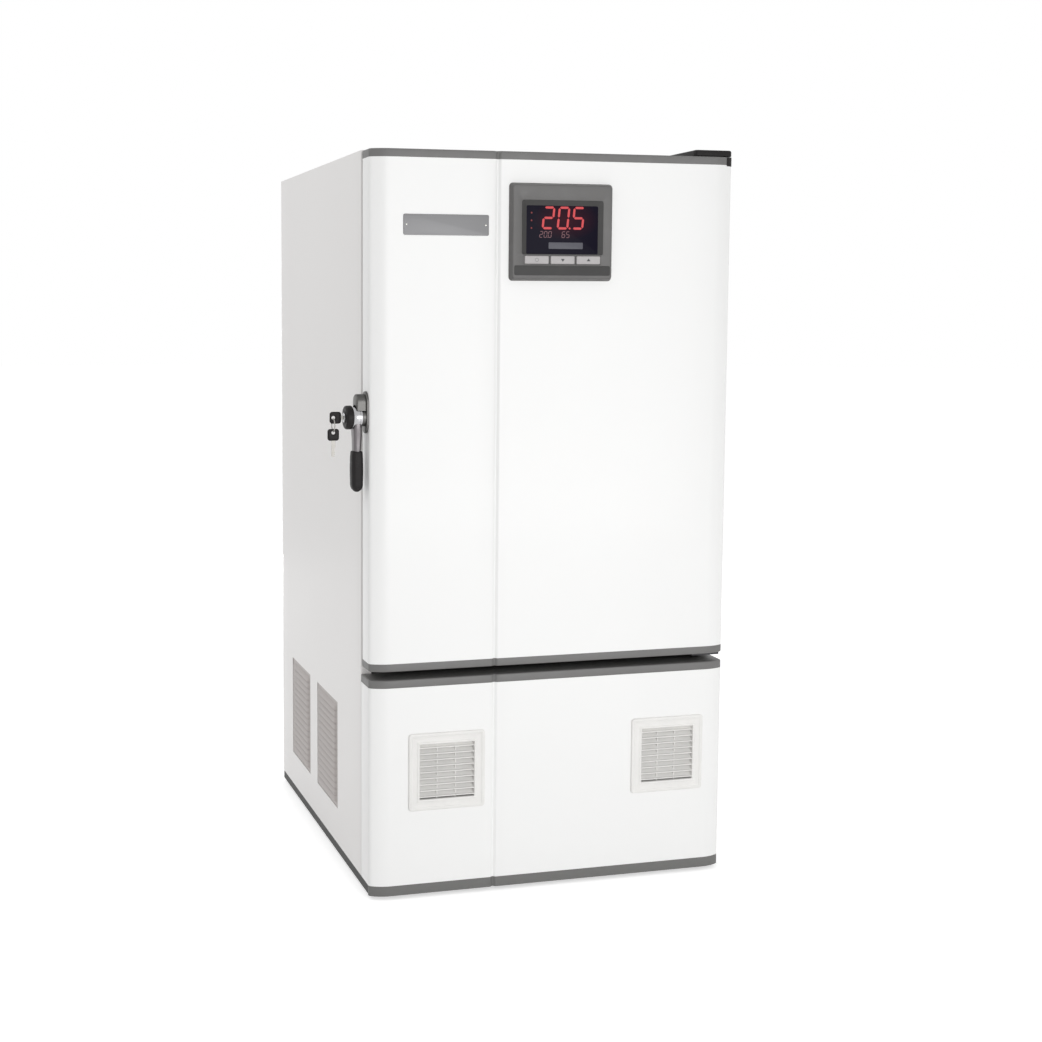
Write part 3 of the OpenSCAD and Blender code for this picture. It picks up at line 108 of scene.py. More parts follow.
class IncubatorSizes(bpy.types.PropertyGroup):
    """Sizes that a user would change, none of which alters where a CAD piece is."""

    groove_depth: length("Groove depth", "Depth of the pressed groove in the front",
                         0.0035, 0.001, 0.0035)
    fold_radius: length("Fold radius", "Outer radius of the folds in the painted sheet",
                        0.003, 0.001, 0.006)
    coved_radius: length("Coved radius", "Radius of the stainless chamber's corners",
                         0.014, 0.004, 0.03)
    digit_height: length("Digit height", "Height of the upper row of digits", 0.038, 0.02, 0.044)
    camera_lens: FloatProperty(name="Lens", description="Focal length on a 36 mm sensor",
                               default=54.45, min=20, max=200)


class IncubatorFinishes(bpy.types.PropertyGroup):
    """Colours of the finishes, in linear light."""

    white: colour("White enamel", "Stoved enamel of roof, back and fronts", (0.9, 0.9, 0.893))
    # Painted shade: the side enamel is a darker, warmer copy of the white enamel, standing in for
    # the shade on the side panels.
    side_shaded_white: colour("Side enamel", "Enamel of the side panels", (0.82, 0.802, 0.79))
    caps: colour("End caps", "Grey mouldings that close the fronts", (0.165, 0.163, 0.16))
    plinth: colour("Plinth", "Grey enamel of the base", (0.14, 0.14, 0.135))
    # Painted shade: the rail's near-black stands in for the shadowed gap between the door and the
    # lower panel.
    rail: colour("Rail", "Black enamel in the gap under the door", (0.006, 0.006, 0.0055))
    # Painted shade: the louvre grey, darker than the side enamel, stands in for the shade under the
    # hoods and in the slots, which the sheet leaves closed.
    louvre: colour("Louvre plates", "Grey enamel of the side grilles", (0.46, 0.42, 0.405))
    vent: colour("Vents", "Light moulding of the front vents", (0.84, 0.83, 0.81))
    bezel: colour("Bezel", "Satin moulding round the display", (0.125, 0.122, 0.12))
    window: colour("Window", "Tinted window of the display", (0.004, 0.003, 0.008))
    keys: colour("Keys", "Light keys under the window", (0.47, 0.45, 0.45))
    black: colour("Black moulding", "Grip, hinge cover and key bows", (0.010, 0.0085, 0.0085))
    # Painted shade: the lever neck's tint is a darker copy of the hub's plating, standing in for
    # the shade that the neck sits in.
    lever: colour("Lever neck", "Satin metal between hub and grip", (0.16, 0.15, 0.155))
    digits: colour("Digits", "Light of the display's digits", (0.75, 0.02, 0.03))


class Wire:
    """A socket of a node tree, with the arithmetic that the finishes use written as operators."""

    def __init__(self, owner, socket):
        self.owner, self.socket = owner, socket

    def math(self, operation, first, second):
        return self.owner.node("ShaderNodeMath", {"operation": operation}, {0: first, 1: second})

    def __add__(self, other):
        return self.math("ADD", self, other)

    def __radd__(self, other):
        return self.math("ADD", other, self)

    def __sub__(self, other):
        return self.math("SUBTRACT", self, other)

    def __rsub__(self, other):
        return self.math("SUBTRACT", other, self)

    def __mul__(self, other):
        return self.math("MULTIPLY", self, other)

    def __rmul__(self, other):
        return self.math("MULTIPLY", other, self)


class Tree:
    """The node tree of a material or of the world, whose nodes all come from one method."""

    def __init__(self, owner, end):
        owner.use_nodes = True
        self.tree = owner.node_tree
        self.tree.nodes.clear()
        self.end = self.tree.nodes.new(end)

    def node(self, kind, settings=None, inputs=None, output=0):
        """Adds a node: its settings first, ramp stops among them, then its values or wires."""
        made = self.tree.nodes.new(kind)
        for key, value in (settings or {}).items():
            if key == "stops":
                for element, (place, grey) in zip(made.color_ramp.elements, value):
                    element.position, element.color = place, (grey, grey, grey, 1)
            else:
                setattr(made, key, value)
        for key, value in (inputs or {}).items():
            if isinstance(value, Wire):
                self.tree.links.new(value.socket, made.inputs[key])
            else:
                made.inputs[key].default_value = value
        return Wire(self, made.outputs[output])

    def by_ray(self, kinds, unseen, seen):
        """Seen for these kinds of ray, and unseen for all the rest."""
        mask, *others = (self.node("ShaderNodeLightPath", output=kind) for kind in kinds)
        for other in others:
            mask = mask.math("MAXIMUM", mask, other)
        return self.node("ShaderNodeMixShader", {}, {0: mask, 1: unseen, 2: seen})

    def finish(self, wire):
        """Links a shader to the tree's output."""
        self.tree.links.new(wire.socket, self.end.inputs["Surface"])


class Paint(Tree):
    """One finish: a Principled shader, its constants on its own sockets and the rest linked."""

    def __init__(self, name, **fixed):
        self.material = bpy.data.materials.new(name)
        super().__init__(self.material, "ShaderNodeOutputMaterial")
        self.shader = self.node("ShaderNodeBsdfPrincipled", {},
                                {key.replace("_", " "): value for key, value in fixed.items()})
        self.finish(self.shader)
        self.where = self.node("ShaderNodeTexCoord", output="Object")

    def noise(self, scale, detail, stretch=(1, 1, 1)):
        """Noise of that many cells a metre, drawn out where stretch is below 1."""
        spot = self.where
        if stretch != (1, 1, 1):
            spot = self.node("ShaderNodeMapping", {}, {"Vector": spot, "Scale": stretch})
        return self.node("ShaderNodeTexNoise", {},
                         {"Vector": spot, "Scale": scale, "Detail": detail})

    def cells(self, scale):
        """Distance to the nearest of that many cell centres a metre."""
        return self.node("ShaderNodeTexVoronoi", {}, {"Vector": self.where, "Scale": scale})

    def ramp(self, wire, low, high):
        """The wire's part between low and high, spread over 0 to 1."""
        return self.node("ShaderNodeValToRGB", {"stops": [(low, 0), (high, 1)]}, {"Fac": wire})

    def blend(self, factor, first, second):
        """Colour that goes from first to second as factor goes from 0 to 1."""
        return self.node("ShaderNodeMix", {"data_type": "RGBA"},
                         {0: factor, 6: (*first, 1), 7: (*second, 1)}, output=2)

    def feed(self, key, wire):
        """Links a wire to one of the shader's inputs that may vary over a surface."""
        self.tree.links.new(wire.socket, self.shader.socket.node.inputs[key])

    def relief(self, height, depth):
        """Bumps the surface by depth metres where height is 1."""
        self.feed("Normal", self.node(
            "ShaderNodeBump", {}, {"Height": height, "Distance": depth, "Strength": 1.0}, "Normal"))


def shade(tint, factor):
    """A colour times a number, kept within 1."""
    return tuple(min(1.0, part * factor) for part in tint)


def kept(maker):
    """Makes each finish once and hands the same material out after that."""
    made = {}

    def finish(name, *values, **more):
        if name not in made:
            made[name] = maker(name, *values, **more).material
        return made[name]

    return finish


@kept
def enamel(name, tint, rough=0.34, coat=0.25, shine=0.45):
    """Stoved enamel: faint orange peel of 2 to 3 mm, slow drifts of tone and a thin clear gloss."""
    paint = Paint(name, Coat_Roughness=0.12, Specular_IOR_Level=shine, Coat_Weight=coat)
    drift, peel = paint.noise(2.3, 3.0), paint.noise(380, 1.0)
    dust = paint.ramp(paint.noise(900, 4.0), 0.66, 0.8)
    tone = drift * 0.7 + dust * 0.3
    paint.feed("Base Color", paint.blend(tone, shade(tint, 1.005), shade(tint, 0.975)))
    paint.feed("Roughness", drift * 0.05 + peel * 0.05 + (rough - 0.05))
    paint.relief(peel * 0.8 + dust * 0.1, 0.000018)
    return paint


@kept
def moulding(name, tint, rough=0.5, grain=1500, depth=0.00003, shine=0.4):
    """Moulded plastic: fine spark-eroded grain, cloudy tone, and polish where the grain is worn."""
    paint = Paint(name, Specular_IOR_Level=shine)
    cloud, pits = paint.noise(26, 3.0), paint.cells(grain)
    polish = paint.ramp(paint.noise(60, 4.0), 0.55, 0.75)
    tone = cloud * 0.6 + pits * 0.4
    paint.feed("Base Color", paint.blend(tone, shade(tint, 1.07), shade(tint, 0.9)))
    paint.feed("Roughness", cloud * 0.08 + (rough - 0.02) - polish * 0.08)
    paint.relief(pits * (1 - polish * 0.4), depth)
    return paint


@kept
def brushed(name, tint, along, rough):
    """Brushed metal: scratches drawn out along one axis (0 X, 1 Y, 2 Z), and dulling smudges."""
    paint = Paint(name, Metallic=1.0)
    stretch = tuple(0.012 if axis == along else 1.0 for axis in range(3))
    scratch = paint.noise(1400, 3.0, stretch)
    smudge = paint.noise(7, 4.0)
    tone = scratch * 0.7 + smudge * 0.3
    paint.feed("Base Color", paint.blend(tone, shade(tint, 0.9), shade(tint, 1.06)))
    paint.feed("Roughness", scratch * 0.16 + smudge * 0.06 + (rough - 0.1))
    paint.relief(scratch, 0.00002)
    return paint


@kept
def plated(name, tint, rough):
    """Plating: nearly smooth, with faint waves from the polishing wheel and a few dull specks."""
    paint = Paint(name, Metallic=1.0)
    wave = paint.noise(120, 2.0)
    speck = paint.ramp(paint.noise(700, 3.0), 0.62, 0.72)
    paint.feed("Base Color", paint.blend(speck * 0.5, tint, shade(tint, 0.8)))
    paint.feed("Roughness", rough + wave * 0.05 + speck * 0.12)
    paint.relief(wave, 0.00001)
    return paint


@kept
def rubber(name, tint):
    """Rubber: matt, with a dusty bloom and a fine toothed surface."""
    paint = Paint(name, Specular_IOR_Level=0.3)
    bloom, tooth = paint.noise(45, 4.0), paint.noise(2200, 2.0)
    paint.feed("Base Color", paint.blend(bloom, shade(tint, 0.85), shade(tint, 1.3)))
    paint.feed("Roughness", 0.62 + bloom * 0.2)
    paint.relief(tooth, 0.00002)
    return paint


@kept
def foamed(name, tint):
    """Rigid foam: small open cells and yellowed patches."""
    paint = Paint(name, Specular_IOR_Level=0.2)
    cell, patch = paint.cells(420), paint.noise(18, 4.0)
    tone = patch * 0.6 + cell * 0.4
    paint.feed("Base Color", paint.blend(tone, shade(tint, 1.1), shade(tint, 0.8)))
    paint.feed("Roughness", 0.85 + patch * 0.1)
    paint.relief(cell, 0.0004)
    return paint


@kept
def lit_window(name, tint, middle):
    """Tinted window over lit digits: the window's own emission is a painted red glow that fades
    with the distance from the digits' middle, and the face has fine dust and a trace of wiping."""
    paint = Paint(name, Specular_IOR_Level=0.05, Emission_Strength=1.0)
    wipe = paint.noise(90, 3.0, (1, 1, 0.15))
    dust = paint.ramp(paint.noise(1500, 2.0), 0.7, 0.78)
    scale = (15.0, 15.0, 26.0)
    spot = paint.node("ShaderNodeMapping", {}, {
        "Vector": paint.where, "Scale": scale,
        "Location": tuple(-m * s for m, s in zip(middle, scale))})
    painted_glow_falloff = paint.node("ShaderNodeTexGradient", {"gradient_type": "SPHERICAL"},
                      {"Vector": spot}, "Fac")
    dark, glow = (0.0012, 0.0008, 0.0045), (0.036, 0.002, 0.005)
    paint.feed("Base Color", paint.blend(dust * 0.25, tint, (0.1, 0.1, 0.11)))
    paint.feed("Roughness", 0.2 + wipe * 0.1 + dust * 0.2)
    # Painted glow: the window's own emission, red near the digits' middle and dark further out.
    paint.feed("Emission Color", paint.blend(painted_glow_falloff * (0.7 + wipe * 0.5), dark, glow))
    return paint


@kept
def clear_glass(name):
    """Toughened glass: clear with a green cast, slightly uneven."""
    paint = Paint(name, Transmission_Weight=1.0, IOR=1.5)
    wave, haze = paint.noise(9, 2.0), paint.noise(40, 4.0)
    paint.feed("Base Color", paint.blend(haze, (0.93, 0.98, 0.96), (0.88, 0.96, 0.93)))
    paint.feed("Roughness", haze * 0.03 + 0.005)
    paint.relief(wave, 0.0001)
    return paint


@kept
def glowing(name, tint, power):
    """A lit lamp or digit segment: brighter in the middle of its grain."""
    paint = Paint(name, Emission_Strength=power, Roughness=0.4)
    grain = paint.noise(600, 2.0)
    paint.feed("Base Color", paint.blend(grain, shade(tint, 0.1), shade(tint, 0.2)))
    paint.feed("Emission Color", paint.blend(grain, shade(tint, 0.85), tint))
    return paint


@kept
def circuit(name, tint):
    """Solder mask over copper: darker and lighter tracks on a square pitch."""
    paint = Paint(name, Coat_Weight=0.6)
    tracks = paint.node("ShaderNodeTexBrick", {}, {"Vector": paint.where, "Scale": 90.0}, "Fac")
    mottle = paint.noise(300, 2.0)
    paint.feed("Base Color", paint.blend(tracks * 0.6 + mottle * 0.3, tint, shade(tint, 2.2)))
    paint.feed("Roughness", 0.25 + mottle * 0.15)
    paint.relief(tracks, 0.00005)
    return paint


@kept
def finned(name, tint):
    """Coil block: bright fins, their edges a fine stripe across X, greyed by dust."""
    paint = Paint(name, Metallic=0.9)
    pitch = 0.0147
    stripe, dust = paint.noise(1 / pitch * 6, 2.0, (1.0, 0.05, 0.05)), paint.noise(30, 4.0)
    paint.feed("Base Color", paint.blend(dust * 0.6 + stripe * 0.3, tint, shade(tint, 0.55)))
    paint.feed("Roughness", 0.35 + dust * 0.2)
    paint.relief(stripe, 0.0001)
    return paint


# Finishes that several pieces share

def zinc():
    return plated("zinc_plate", (0.62, 0.62, 0.58), 0.22)


def polished_steel():
    return plated("polished_steel", (0.62, 0.62, 0.61), 0.2)


def nickel():
    return plated("nickel", (0.36, 0.35, 0.33), 0.5)


def grey_caps(finishes):
    return moulding("cap_plastic", finishes.caps, 0.42)


def black_plastic(finishes):
    return moulding("black_plastic", finishes.black, 0.45, shine=0.2)


def roof_enamel(finishes):
    return enamel("roof_enamel", finishes.white)


def front_enamel(finishes):
    return enamel("front_enamel", finishes.white)


def liner_enamel(finishes):
    return enamel("liner_enamel", finishes.white, 0.4)


class Surface:
    """Grids of points gathered into one mesh."""

    def __init__(self):
        self.points, self.faces, self.count = [], [], 0

    def grid(self, points, wrap=(False, False), keep=None, caps=(False, False)):
        """Joins an (m, n, 3) array to its neighbours both ways; wrap closes a way, keep masks
        cells, and caps close the first and the last row with one face each."""
        rows, columns = points.shape[:2]
        index = np.arange(rows * columns).reshape(rows, columns) + self.count
        ends = index[0], index[-1]
        if wrap[0]:
            index = np.vstack([index, index[:1]])
        if wrap[1]:
            index = np.hstack([index, index[:, :1]])
        cells = np.stack([index[:-1, :-1], index[1:, :-1], index[1:, 1:], index[:-1, 1:]], -1)
        cells = cells.reshape(-1, 4) if keep is None else cells[keep]
        self.faces += cells.tolist()
        for end, capped in zip(ends, caps):
            if capped:
                self.faces.append(end.tolist())
        self.points.append(points.reshape(-1, 3))
        self.count += rows * columns
        return self

    def loft(self, rings, caps=(True, True)):
        """Joins closed outlines of as many points, one after another."""
        return self.grid(np.stack(rings), wrap=(False, True), caps=caps)

    def hoop(self, rings):
        """Joins closed outlines one after another, and the last to the first."""
        return self.grid(np.stack(rings), wrap=(True, True))

    def piece(self, name, body, slot, material, replaces=(), wall=0.0, away=None, towards=None,
              angle=35):
        """Makes the object in metres. A closed shape has its normals turned outwards. An open
        sheet faces away from one point or towards one, and wall is its thickness behind that."""
        mesh = bpy.data.meshes.new(name)
        mesh.from_pydata(((np.vstack(self.points) + MIDDLE) / 1000).tolist(), [], self.faces)
        work = bmesh.new()
        work.from_mesh(mesh)
        bmesh.ops.remove_doubles(work, verts=work.verts, dist=1e-6)
        bmesh.ops.dissolve_degenerate(work, edges=work.edges, dist=1e-7)
        if away is None and towards is None:
            bmesh.ops.recalc_face_normals(work, faces=work.faces)
        else:
            spot = Vector((np.array(towards if away is None else away) + MIDDLE) / 1000)
            outwards = sum((face.calc_center_median() - spot).dot(face.normal) * face.calc_area()
                           for face in work.faces)
            if (outwards < 0) == (towards is None):
                bmesh.ops.reverse_faces(work, faces=work.faces)
        work.to_mesh(mesh)
        work.free()
        mesh.polygons.foreach_set("use_smooth", [True] * len(mesh.polygons))
        mesh.set_sharp_from_angle(angle=radians(angle))
        rims(mesh)
        made = bpy.data.objects.new(name, mesh)
        bpy.context.scene.collection.objects.link(made)
        if wall:
            thick = made.modifiers.new("Wall", "SOLIDIFY")
            thick.thickness, thick.offset, thick.use_even_offset = wall / 1000, -1.0, True
        made.data.materials.append(material)
        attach(made, body)
        if replaces:
            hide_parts(*replaces)


def rims(mesh):
    """Marks the open edges of a sheet sharp, so that its wall doesn't pull the shading round."""
    used = np.zeros(len(mesh.loops), int)
    mesh.loops.foreach_get("edge_index", used)
    sharp = mesh.attributes.get("sharp_edge")
    sharp = sharp or mesh.attributes.new("sharp_edge", "BOOLEAN", "EDGE")
    marks = np.zeros(len(mesh.edges), bool)
    sharp.data.foreach_get("value", marks)
    marks |= np.bincount(used, minlength=len(mesh.edges)) == 1
    sharp.data.foreach_set("value", marks)


def rounded(width, height, radius, steps=6):
    """Outline of a rectangle: four quarter circles of steps + 1 points. A radius may be given for
    each corner, from the first quadrant on, and every outline has the same number of points."""
    radii = np.broadcast_to(radius, (4,))
    turn = np.linspace(0, pi / 2, steps + 1)
    out = []
    for quarter, (sx, sy) in enumerate(((1, 1), (-1, 1), (-1, -1), (1, -1))):
        r, angle = radii[quarter], turn + quarter * pi / 2
        x, y = sx * (width / 2 - r), sy * (height / 2 - r)
        out.append(np.stack([x + r * np.cos(angle), y + r * np.sin(angle)], 1))
    return np.vstack(out)


def inset(outline, distance):
    """A closed outline moved inwards, along the mean normal of each point's two edges."""
    ahead, behind = np.roll(outline, -1, 0) - outline, outline - np.roll(outline, 1, 0)
    unit = lambda v: v / np.maximum(np.linalg.norm(v, axis=1, keepdims=True), 1e-9)
    tangent = unit(unit(ahead) + unit(behind))
    normal = np.stack([-tangent[:, 1], tangent[:, 0]], 1)
    return outline + normal * distance


def stand(flat, height, axis):
    """Puts an (n, 2) outline at a height along an axis: the other two axes take its columns."""
    column = np.full((len(flat), 1), float(height))
    parts = {0: (column, flat), 1: (flat[:, :1], column, flat[:, 1:]), 2: (flat, column)}[axis]
    return np.hstack(parts)


def soft(start, end, first, last=None, steps=4):
    """Insets and heights of a slab whose two edges are quarter circles of radius first and last."""
    last = first if last is None else last
    way = 1 if end > start else -1
    turn = np.linspace(0, pi / 2, steps + 1)
    low = [(first * (1 - sin(t)), start + way * first * (1 - cos(t))) for t in turn]
    high = [(last * (1 - cos(t)), end - way * last * (1 - sin(t))) for t in turn]
    return low + high


def layers(centre, size, radius, steps, axis=1):
    """Rounded rectangles of one centre, each inset and placed along the axis by one step."""
    wide, tall = size
    return [stand(rounded(wide - 2 * i, tall - 2 * i, max(radius - i, 0.01)) + centre, h, axis)
            for i, h in steps]


def slab(surface, centre, size, radius, steps, axis=1):
    """A closed block of rounded rectangles."""
    return surface.loft(layers(centre, size, radius, steps, axis))


def bar(surface, low, high, edge, radius):
    """A bar along Y between two corners, its long edges rounded by radius, its ends by edge."""
    (x0, y0, z0), (x1, y1, z1) = low, high
    return slab(surface, ((x0 + x1) / 2, (z0 + z1) / 2), (x1 - x0, z1 - z0), radius,
                soft(y0, y1, edge))


def turned(surface, profile, centre, axis, count, flute=None):
    """Carries a profile of radii and heights round an axis through the centre; flute(angle)
    scales the radius."""
    angle = np.linspace(0, 2 * pi, count, endpoint=False)
    radius, height = np.array(profile, float).T
    spread = radius[:, None] * (flute(angle)[None, :] if flute else np.ones((1, count)))
    flat = np.stack([spread * np.cos(angle), spread * np.sin(angle)], -1)
    rows = np.stack([stand(row, h, axis) for row, h in zip(flat, height)])
    return surface.grid(rows + np.array(centre, float), wrap=(False, True))


def tube(surface, path, radius, count, closed=False):
    """Carries a circle along points, square to the path, its turn kept from point to point."""
    path = np.array(path, float)
    ahead = np.roll(path, -1, 0) - path
    if not closed:
        ahead[-1] = ahead[-2]
    behind = np.roll(ahead, 1, 0) if closed else np.vstack([ahead[:1], ahead[:-1]])
    tangent = ahead + behind
    tangent /= np.linalg.norm(tangent, axis=1, keepdims=True)
    side = np.cross(tangent[0], [0, 0, 1] if abs(tangent[0][2]) < 0.9 else [1, 0, 0])
    frames = []
    for t in tangent:
        side = side - t * side.dot(t)
        side /= np.linalg.norm(side)
        frames.append((side, np.cross(t, side)))
    across, up = np.array(frames).transpose(1, 0, 2)
    angle = np.linspace(0, 2 * pi, count, endpoint=False)
    ring = (across[:, None] * np.cos(angle)[None, :, None]
            + up[:, None] * np.sin(angle)[None, :, None])
    return surface.grid(path[:, None] + radius * ring, wrap=(closed, True),
                        caps=(not closed, not closed))


def front_setback(x, depth):
    """How far the front lies behind the door's face: a circle of the bow's radius beyond its
    inner edge, and half a cosine wave across the groove."""
    past = np.clip(np.abs(x) - (HALF - BOW_WIDTH), 0, None)
    bow = BOW_RADIUS - np.sqrt(BOW_RADIUS ** 2 - past ** 2)
    across = np.clip((x - GROOVE_X) / GROOVE_HALF, -1, 1)
    return bow + depth * (1 + np.cos(pi * across)) / 2


def bent(start, corner, end, steps=5):
    """Points of a quadratic curve from start towards the corner to the end, without the start."""
    t = np.linspace(0, 1, steps + 1)[1:, None]
    start, corner, end = (np.array(p, float) for p in (start, corner, end))
    return (1 - t) ** 2 * start + 2 * t * (1 - t) * corner + t ** 2 * end


def front_profile(depth, breaks=()):
    """The front in plan from its left corner's start to its right corner's end."""
    inner = HALF - BOW_WIDTH
    x = np.concatenate([
        np.linspace(-HALF + CORNER, -inner, 9), np.linspace(-inner, inner, 17),
        np.linspace(inner, HALF - CORNER, 9),
        np.linspace(GROOVE_X - GROOVE_HALF, GROOVE_X + GROOVE_HALF, 13), np.array(breaks, float)])
    x = np.unique(np.round(x, 4))
    middle = np.stack([x, front_setback(x, depth)], 1)
    right = bent(middle[-1], (HALF, BOW_DROP), (HALF, BOW_DROP + CORNER))
    left = right[::-1] * (-1, 1)
    return np.vstack([left, middle, right])


def folded_front(depth, back, fold, flange, breaks=()):
    """The front's plan with its sides carried back and folded inwards to their flanges' edges."""
    profile = front_profile(depth, breaks)
    side = np.array([[HALF, back - fold]])
    turn = bent(side[0], (HALF, back), (HALF - fold, back), 4)
    tail = np.vstack([side, turn, [[flange, back]]])
    return np.vstack([tail[::-1] * (-1, 1), profile, tail])


def levels_with(low, high, count, breaks):
    """That many even levels from low to high, and the breaks among them."""
    return np.unique(np.concatenate([np.linspace(low, high, count), np.ravel(breaks)]))


def outside(points, spans):
    """Marks the cells of a grid whose middle is outside the spans, given for each axis."""
    middle = (points[:-1, :-1] + points[1:, 1:]) / 2
    inside = np.ones(middle.shape[:2], bool)
    for axis, (low, high) in spans.items():
        inside &= (middle[..., axis] > low) & (middle[..., axis] < high)
    return ~inside


def pressed_front(depth, back, fold, flange, low, high, holes):
    """A sheet of one plan carried up from low to high, open at each hole (x0, x1, z0, z1)."""
    plan = folded_front(depth, back, fold, flange, [x for hole in holes for x in hole[:2]])
    levels = levels_with(low, high, 9, [hole[2:] for hole in holes])
    points = np.stack([stand(plan, z, 2) for z in levels])
    keep = np.ones((points.shape[0] - 1, points.shape[1] - 1), bool)
    for x0, x1, z0, z1 in holes:
        keep &= outside(points, {0: (x0, x1), 1: (-np.inf, back / 2), 2: (z0, z1)})
    return Surface().grid(points, keep=keep)


def capping(depth, back, low, high):
    """A moulding with the front's closed plan, its visible end rounded by 2.5 mm."""
    back_edge = np.stack([np.linspace(HALF, -HALF, 9), np.full(9, back)], 1)
    plan = np.vstack([front_profile(depth), back_edge])
    return Surface().loft([stand(inset(plan, i), h, 2) for i, h in soft(low, high, 0.6, 2.5)])


def louvre_middles():
    """Depth of the middle of the front and of the rear louvre plate."""
    low, high = corners("side_grilles")
    return low[1] + LOUVRE_WIDE / 2, high[1] - LOUVRE_WIDE / 2


def make_side_sheets(fold, finish):
    """Side panels: a plan with folded front and rear flanges, carried up, with a window behind
    each louvre plate."""
    low, high = corners("side_grilles")
    window = low[2] + LOUVRE_RIM, high[2] - LOUVRE_RIM
    spans = [(middle - LOUVRE_WINDOW, middle + LOUVRE_WINDOW) for middle in louvre_middles()]
    front = np.vstack([[[HALF - FRONT_FLANGE, CASE_Y]],
                       bent((HALF - fold, CASE_Y), (HALF, CASE_Y), (HALF, CASE_Y + fold))])
    rear = np.vstack([bent((HALF, DEPTH - fold), (HALF, DEPTH), (HALF - fold, DEPTH)),
                      [[HALF - REAR_FLANGE, DEPTH]]])
    run = levels_with(CASE_Y + fold, DEPTH - fold, 12, spans)
    plan = np.vstack([front, np.stack([np.full(len(run), HALF), run], 1), rear])
    for way, side in ((-1, "left"), (1, "right")):
        points = np.stack([stand(plan * (way, 1), z, 2) for z in levels_with(*CASE_Z, 12, window)])
        keep = outside(points, {1: spans[0], 2: window}) & outside(points, {1: spans[1], 2: window})
        Surface().grid(points, keep=keep).piece(
            "side_sheet_" + side, "cabinet", "white_enamel", finish, ("side_panel_" + side,), SHEET,
            away=IN_CABINET)


def make_roof(fold, finish):
    """Roof: a profile with front and rear flanges, carried across, the flanges cut short of the
    side panels' own."""
    high = CASE_Z[1]
    roof = np.vstack([
        [[CASE_Y, high - ROOF_FLANGE]], [[CASE_Y, high - fold]],
        bent((CASE_Y, high - fold), (CASE_Y, high), (CASE_Y + fold, high)),
        np.stack([np.linspace(CASE_Y + fold, DEPTH - fold, 9), np.full(9, high)], 1),
        bent((DEPTH - fold, high), (DEPTH, high), (DEPTH, high - fold)),
        [[DEPTH, high - ROOF_FLANGE]]])
    across = HALF - SHEET - 0.3
    front_end, rear_end = HALF - FRONT_FLANGE - FLANGE_GAP, HALF - REAR_FLANGE - FLANGE_GAP
    ends = levels_with(-across, across, 9, (-front_end, front_end, -rear_end, rear_end))
    points = np.stack([np.hstack([np.full((len(roof), 1), x), roof]) for x in ends])
    keep = np.ones((len(ends) - 1, len(roof) - 1), bool)
    middle = np.abs(ends[:-1] + ends[1:]) / 2
    keep[middle > front_end, 0] = False
    keep[middle > rear_end, -1] = False
    Surface().grid(points, keep=keep).piece(
        "roof_sheet", "cabinet", "white_enamel", finish, ("top_panel",), SHEET, away=IN_CABINET)


def make_plinth(sizes, finishes):
    """Plinth: a moulding of the front's plan, set back by a sheet, in a copy of the plinth enamel
    at 0.3 of its tone as painted shade on its sides, and the front strip.
    """
    low, high = corners("base_frame")
    strip = front_profile(sizes.groove_depth * 1000)
    rear = np.stack([np.linspace(HALF - SHEET, SHEET - HALF, 9), np.full(9, DEPTH)], 1)
    plan = np.vstack([strip * ((HALF - SHEET) / HALF, 1) + (0, SHEET), rear])
    rings = [stand(inset(plan, i), h, 2) for i, h in soft(low[2], high[2], 1.6, 0.5)]
    # Painted shade: the moulding shows at the sides and the rear in a darker copy of the plinth
    # enamel.
    Surface().loft(rings).piece(
        "plinth_moulding", "cabinet", "plinth_enamel",
        enamel("plinth_dark", shade(finishes.plinth, 0.3), 0.55, 0.0, 0.3), ("base_frame",))
    levels = np.linspace(low[2] + 0.6, high[2] - 0.1, 4)
    Surface().grid(np.stack([stand(strip, z, 2) for z in levels])).piece(
        "plinth_front", "cabinet", "plinth_enamel",
        enamel("plinth_enamel", finishes.plinth, 0.5, 0.1), (), SHEET, away=IN_CABINET)


def make_feet():
    """Levelling feet: a turned rubber pad with 24 shallow flutes, and its stem."""
    low, high = corners("levelling_feet")
    feet, radius = Surface(), 22
    profile = [(0, 0), (radius - 3, 0), (radius - 1, 0.6), (radius, 1.8), (radius, 3.2),
               (radius - 1, 4.2), (radius - 4, 4.6), (9, 4.9), (8, 5.0), (5, 5.3), (5, 12), (0, 12)]
    for x in (low[0] + radius, high[0] - radius):
        for y in (low[1] + radius, high[1] - radius):
            turned(feet, profile, (x, y, 0), 2, 32, lambda a: 1 + 0.012 * np.cos(24 * a))
    feet.piece("foot_pads", "cabinet", "foot_rubber", rubber("foot_rubber", (0.02, 0.02, 0.02)),
               ("levelling_feet",))


def make_casing(sizes, finishes):
    """Side, top and base of the casing: folded sheets with rounded folds, and the feet."""
    fold = sizes.fold_radius * 1000
    # The side sheets take the darker side enamel, which is painted shade.
    make_side_sheets(fold, enamel("white_enamel", finishes.side_shaded_white))
    make_roof(fold, roof_enamel(finishes))
    make_plinth(sizes, finishes)
    make_feet()


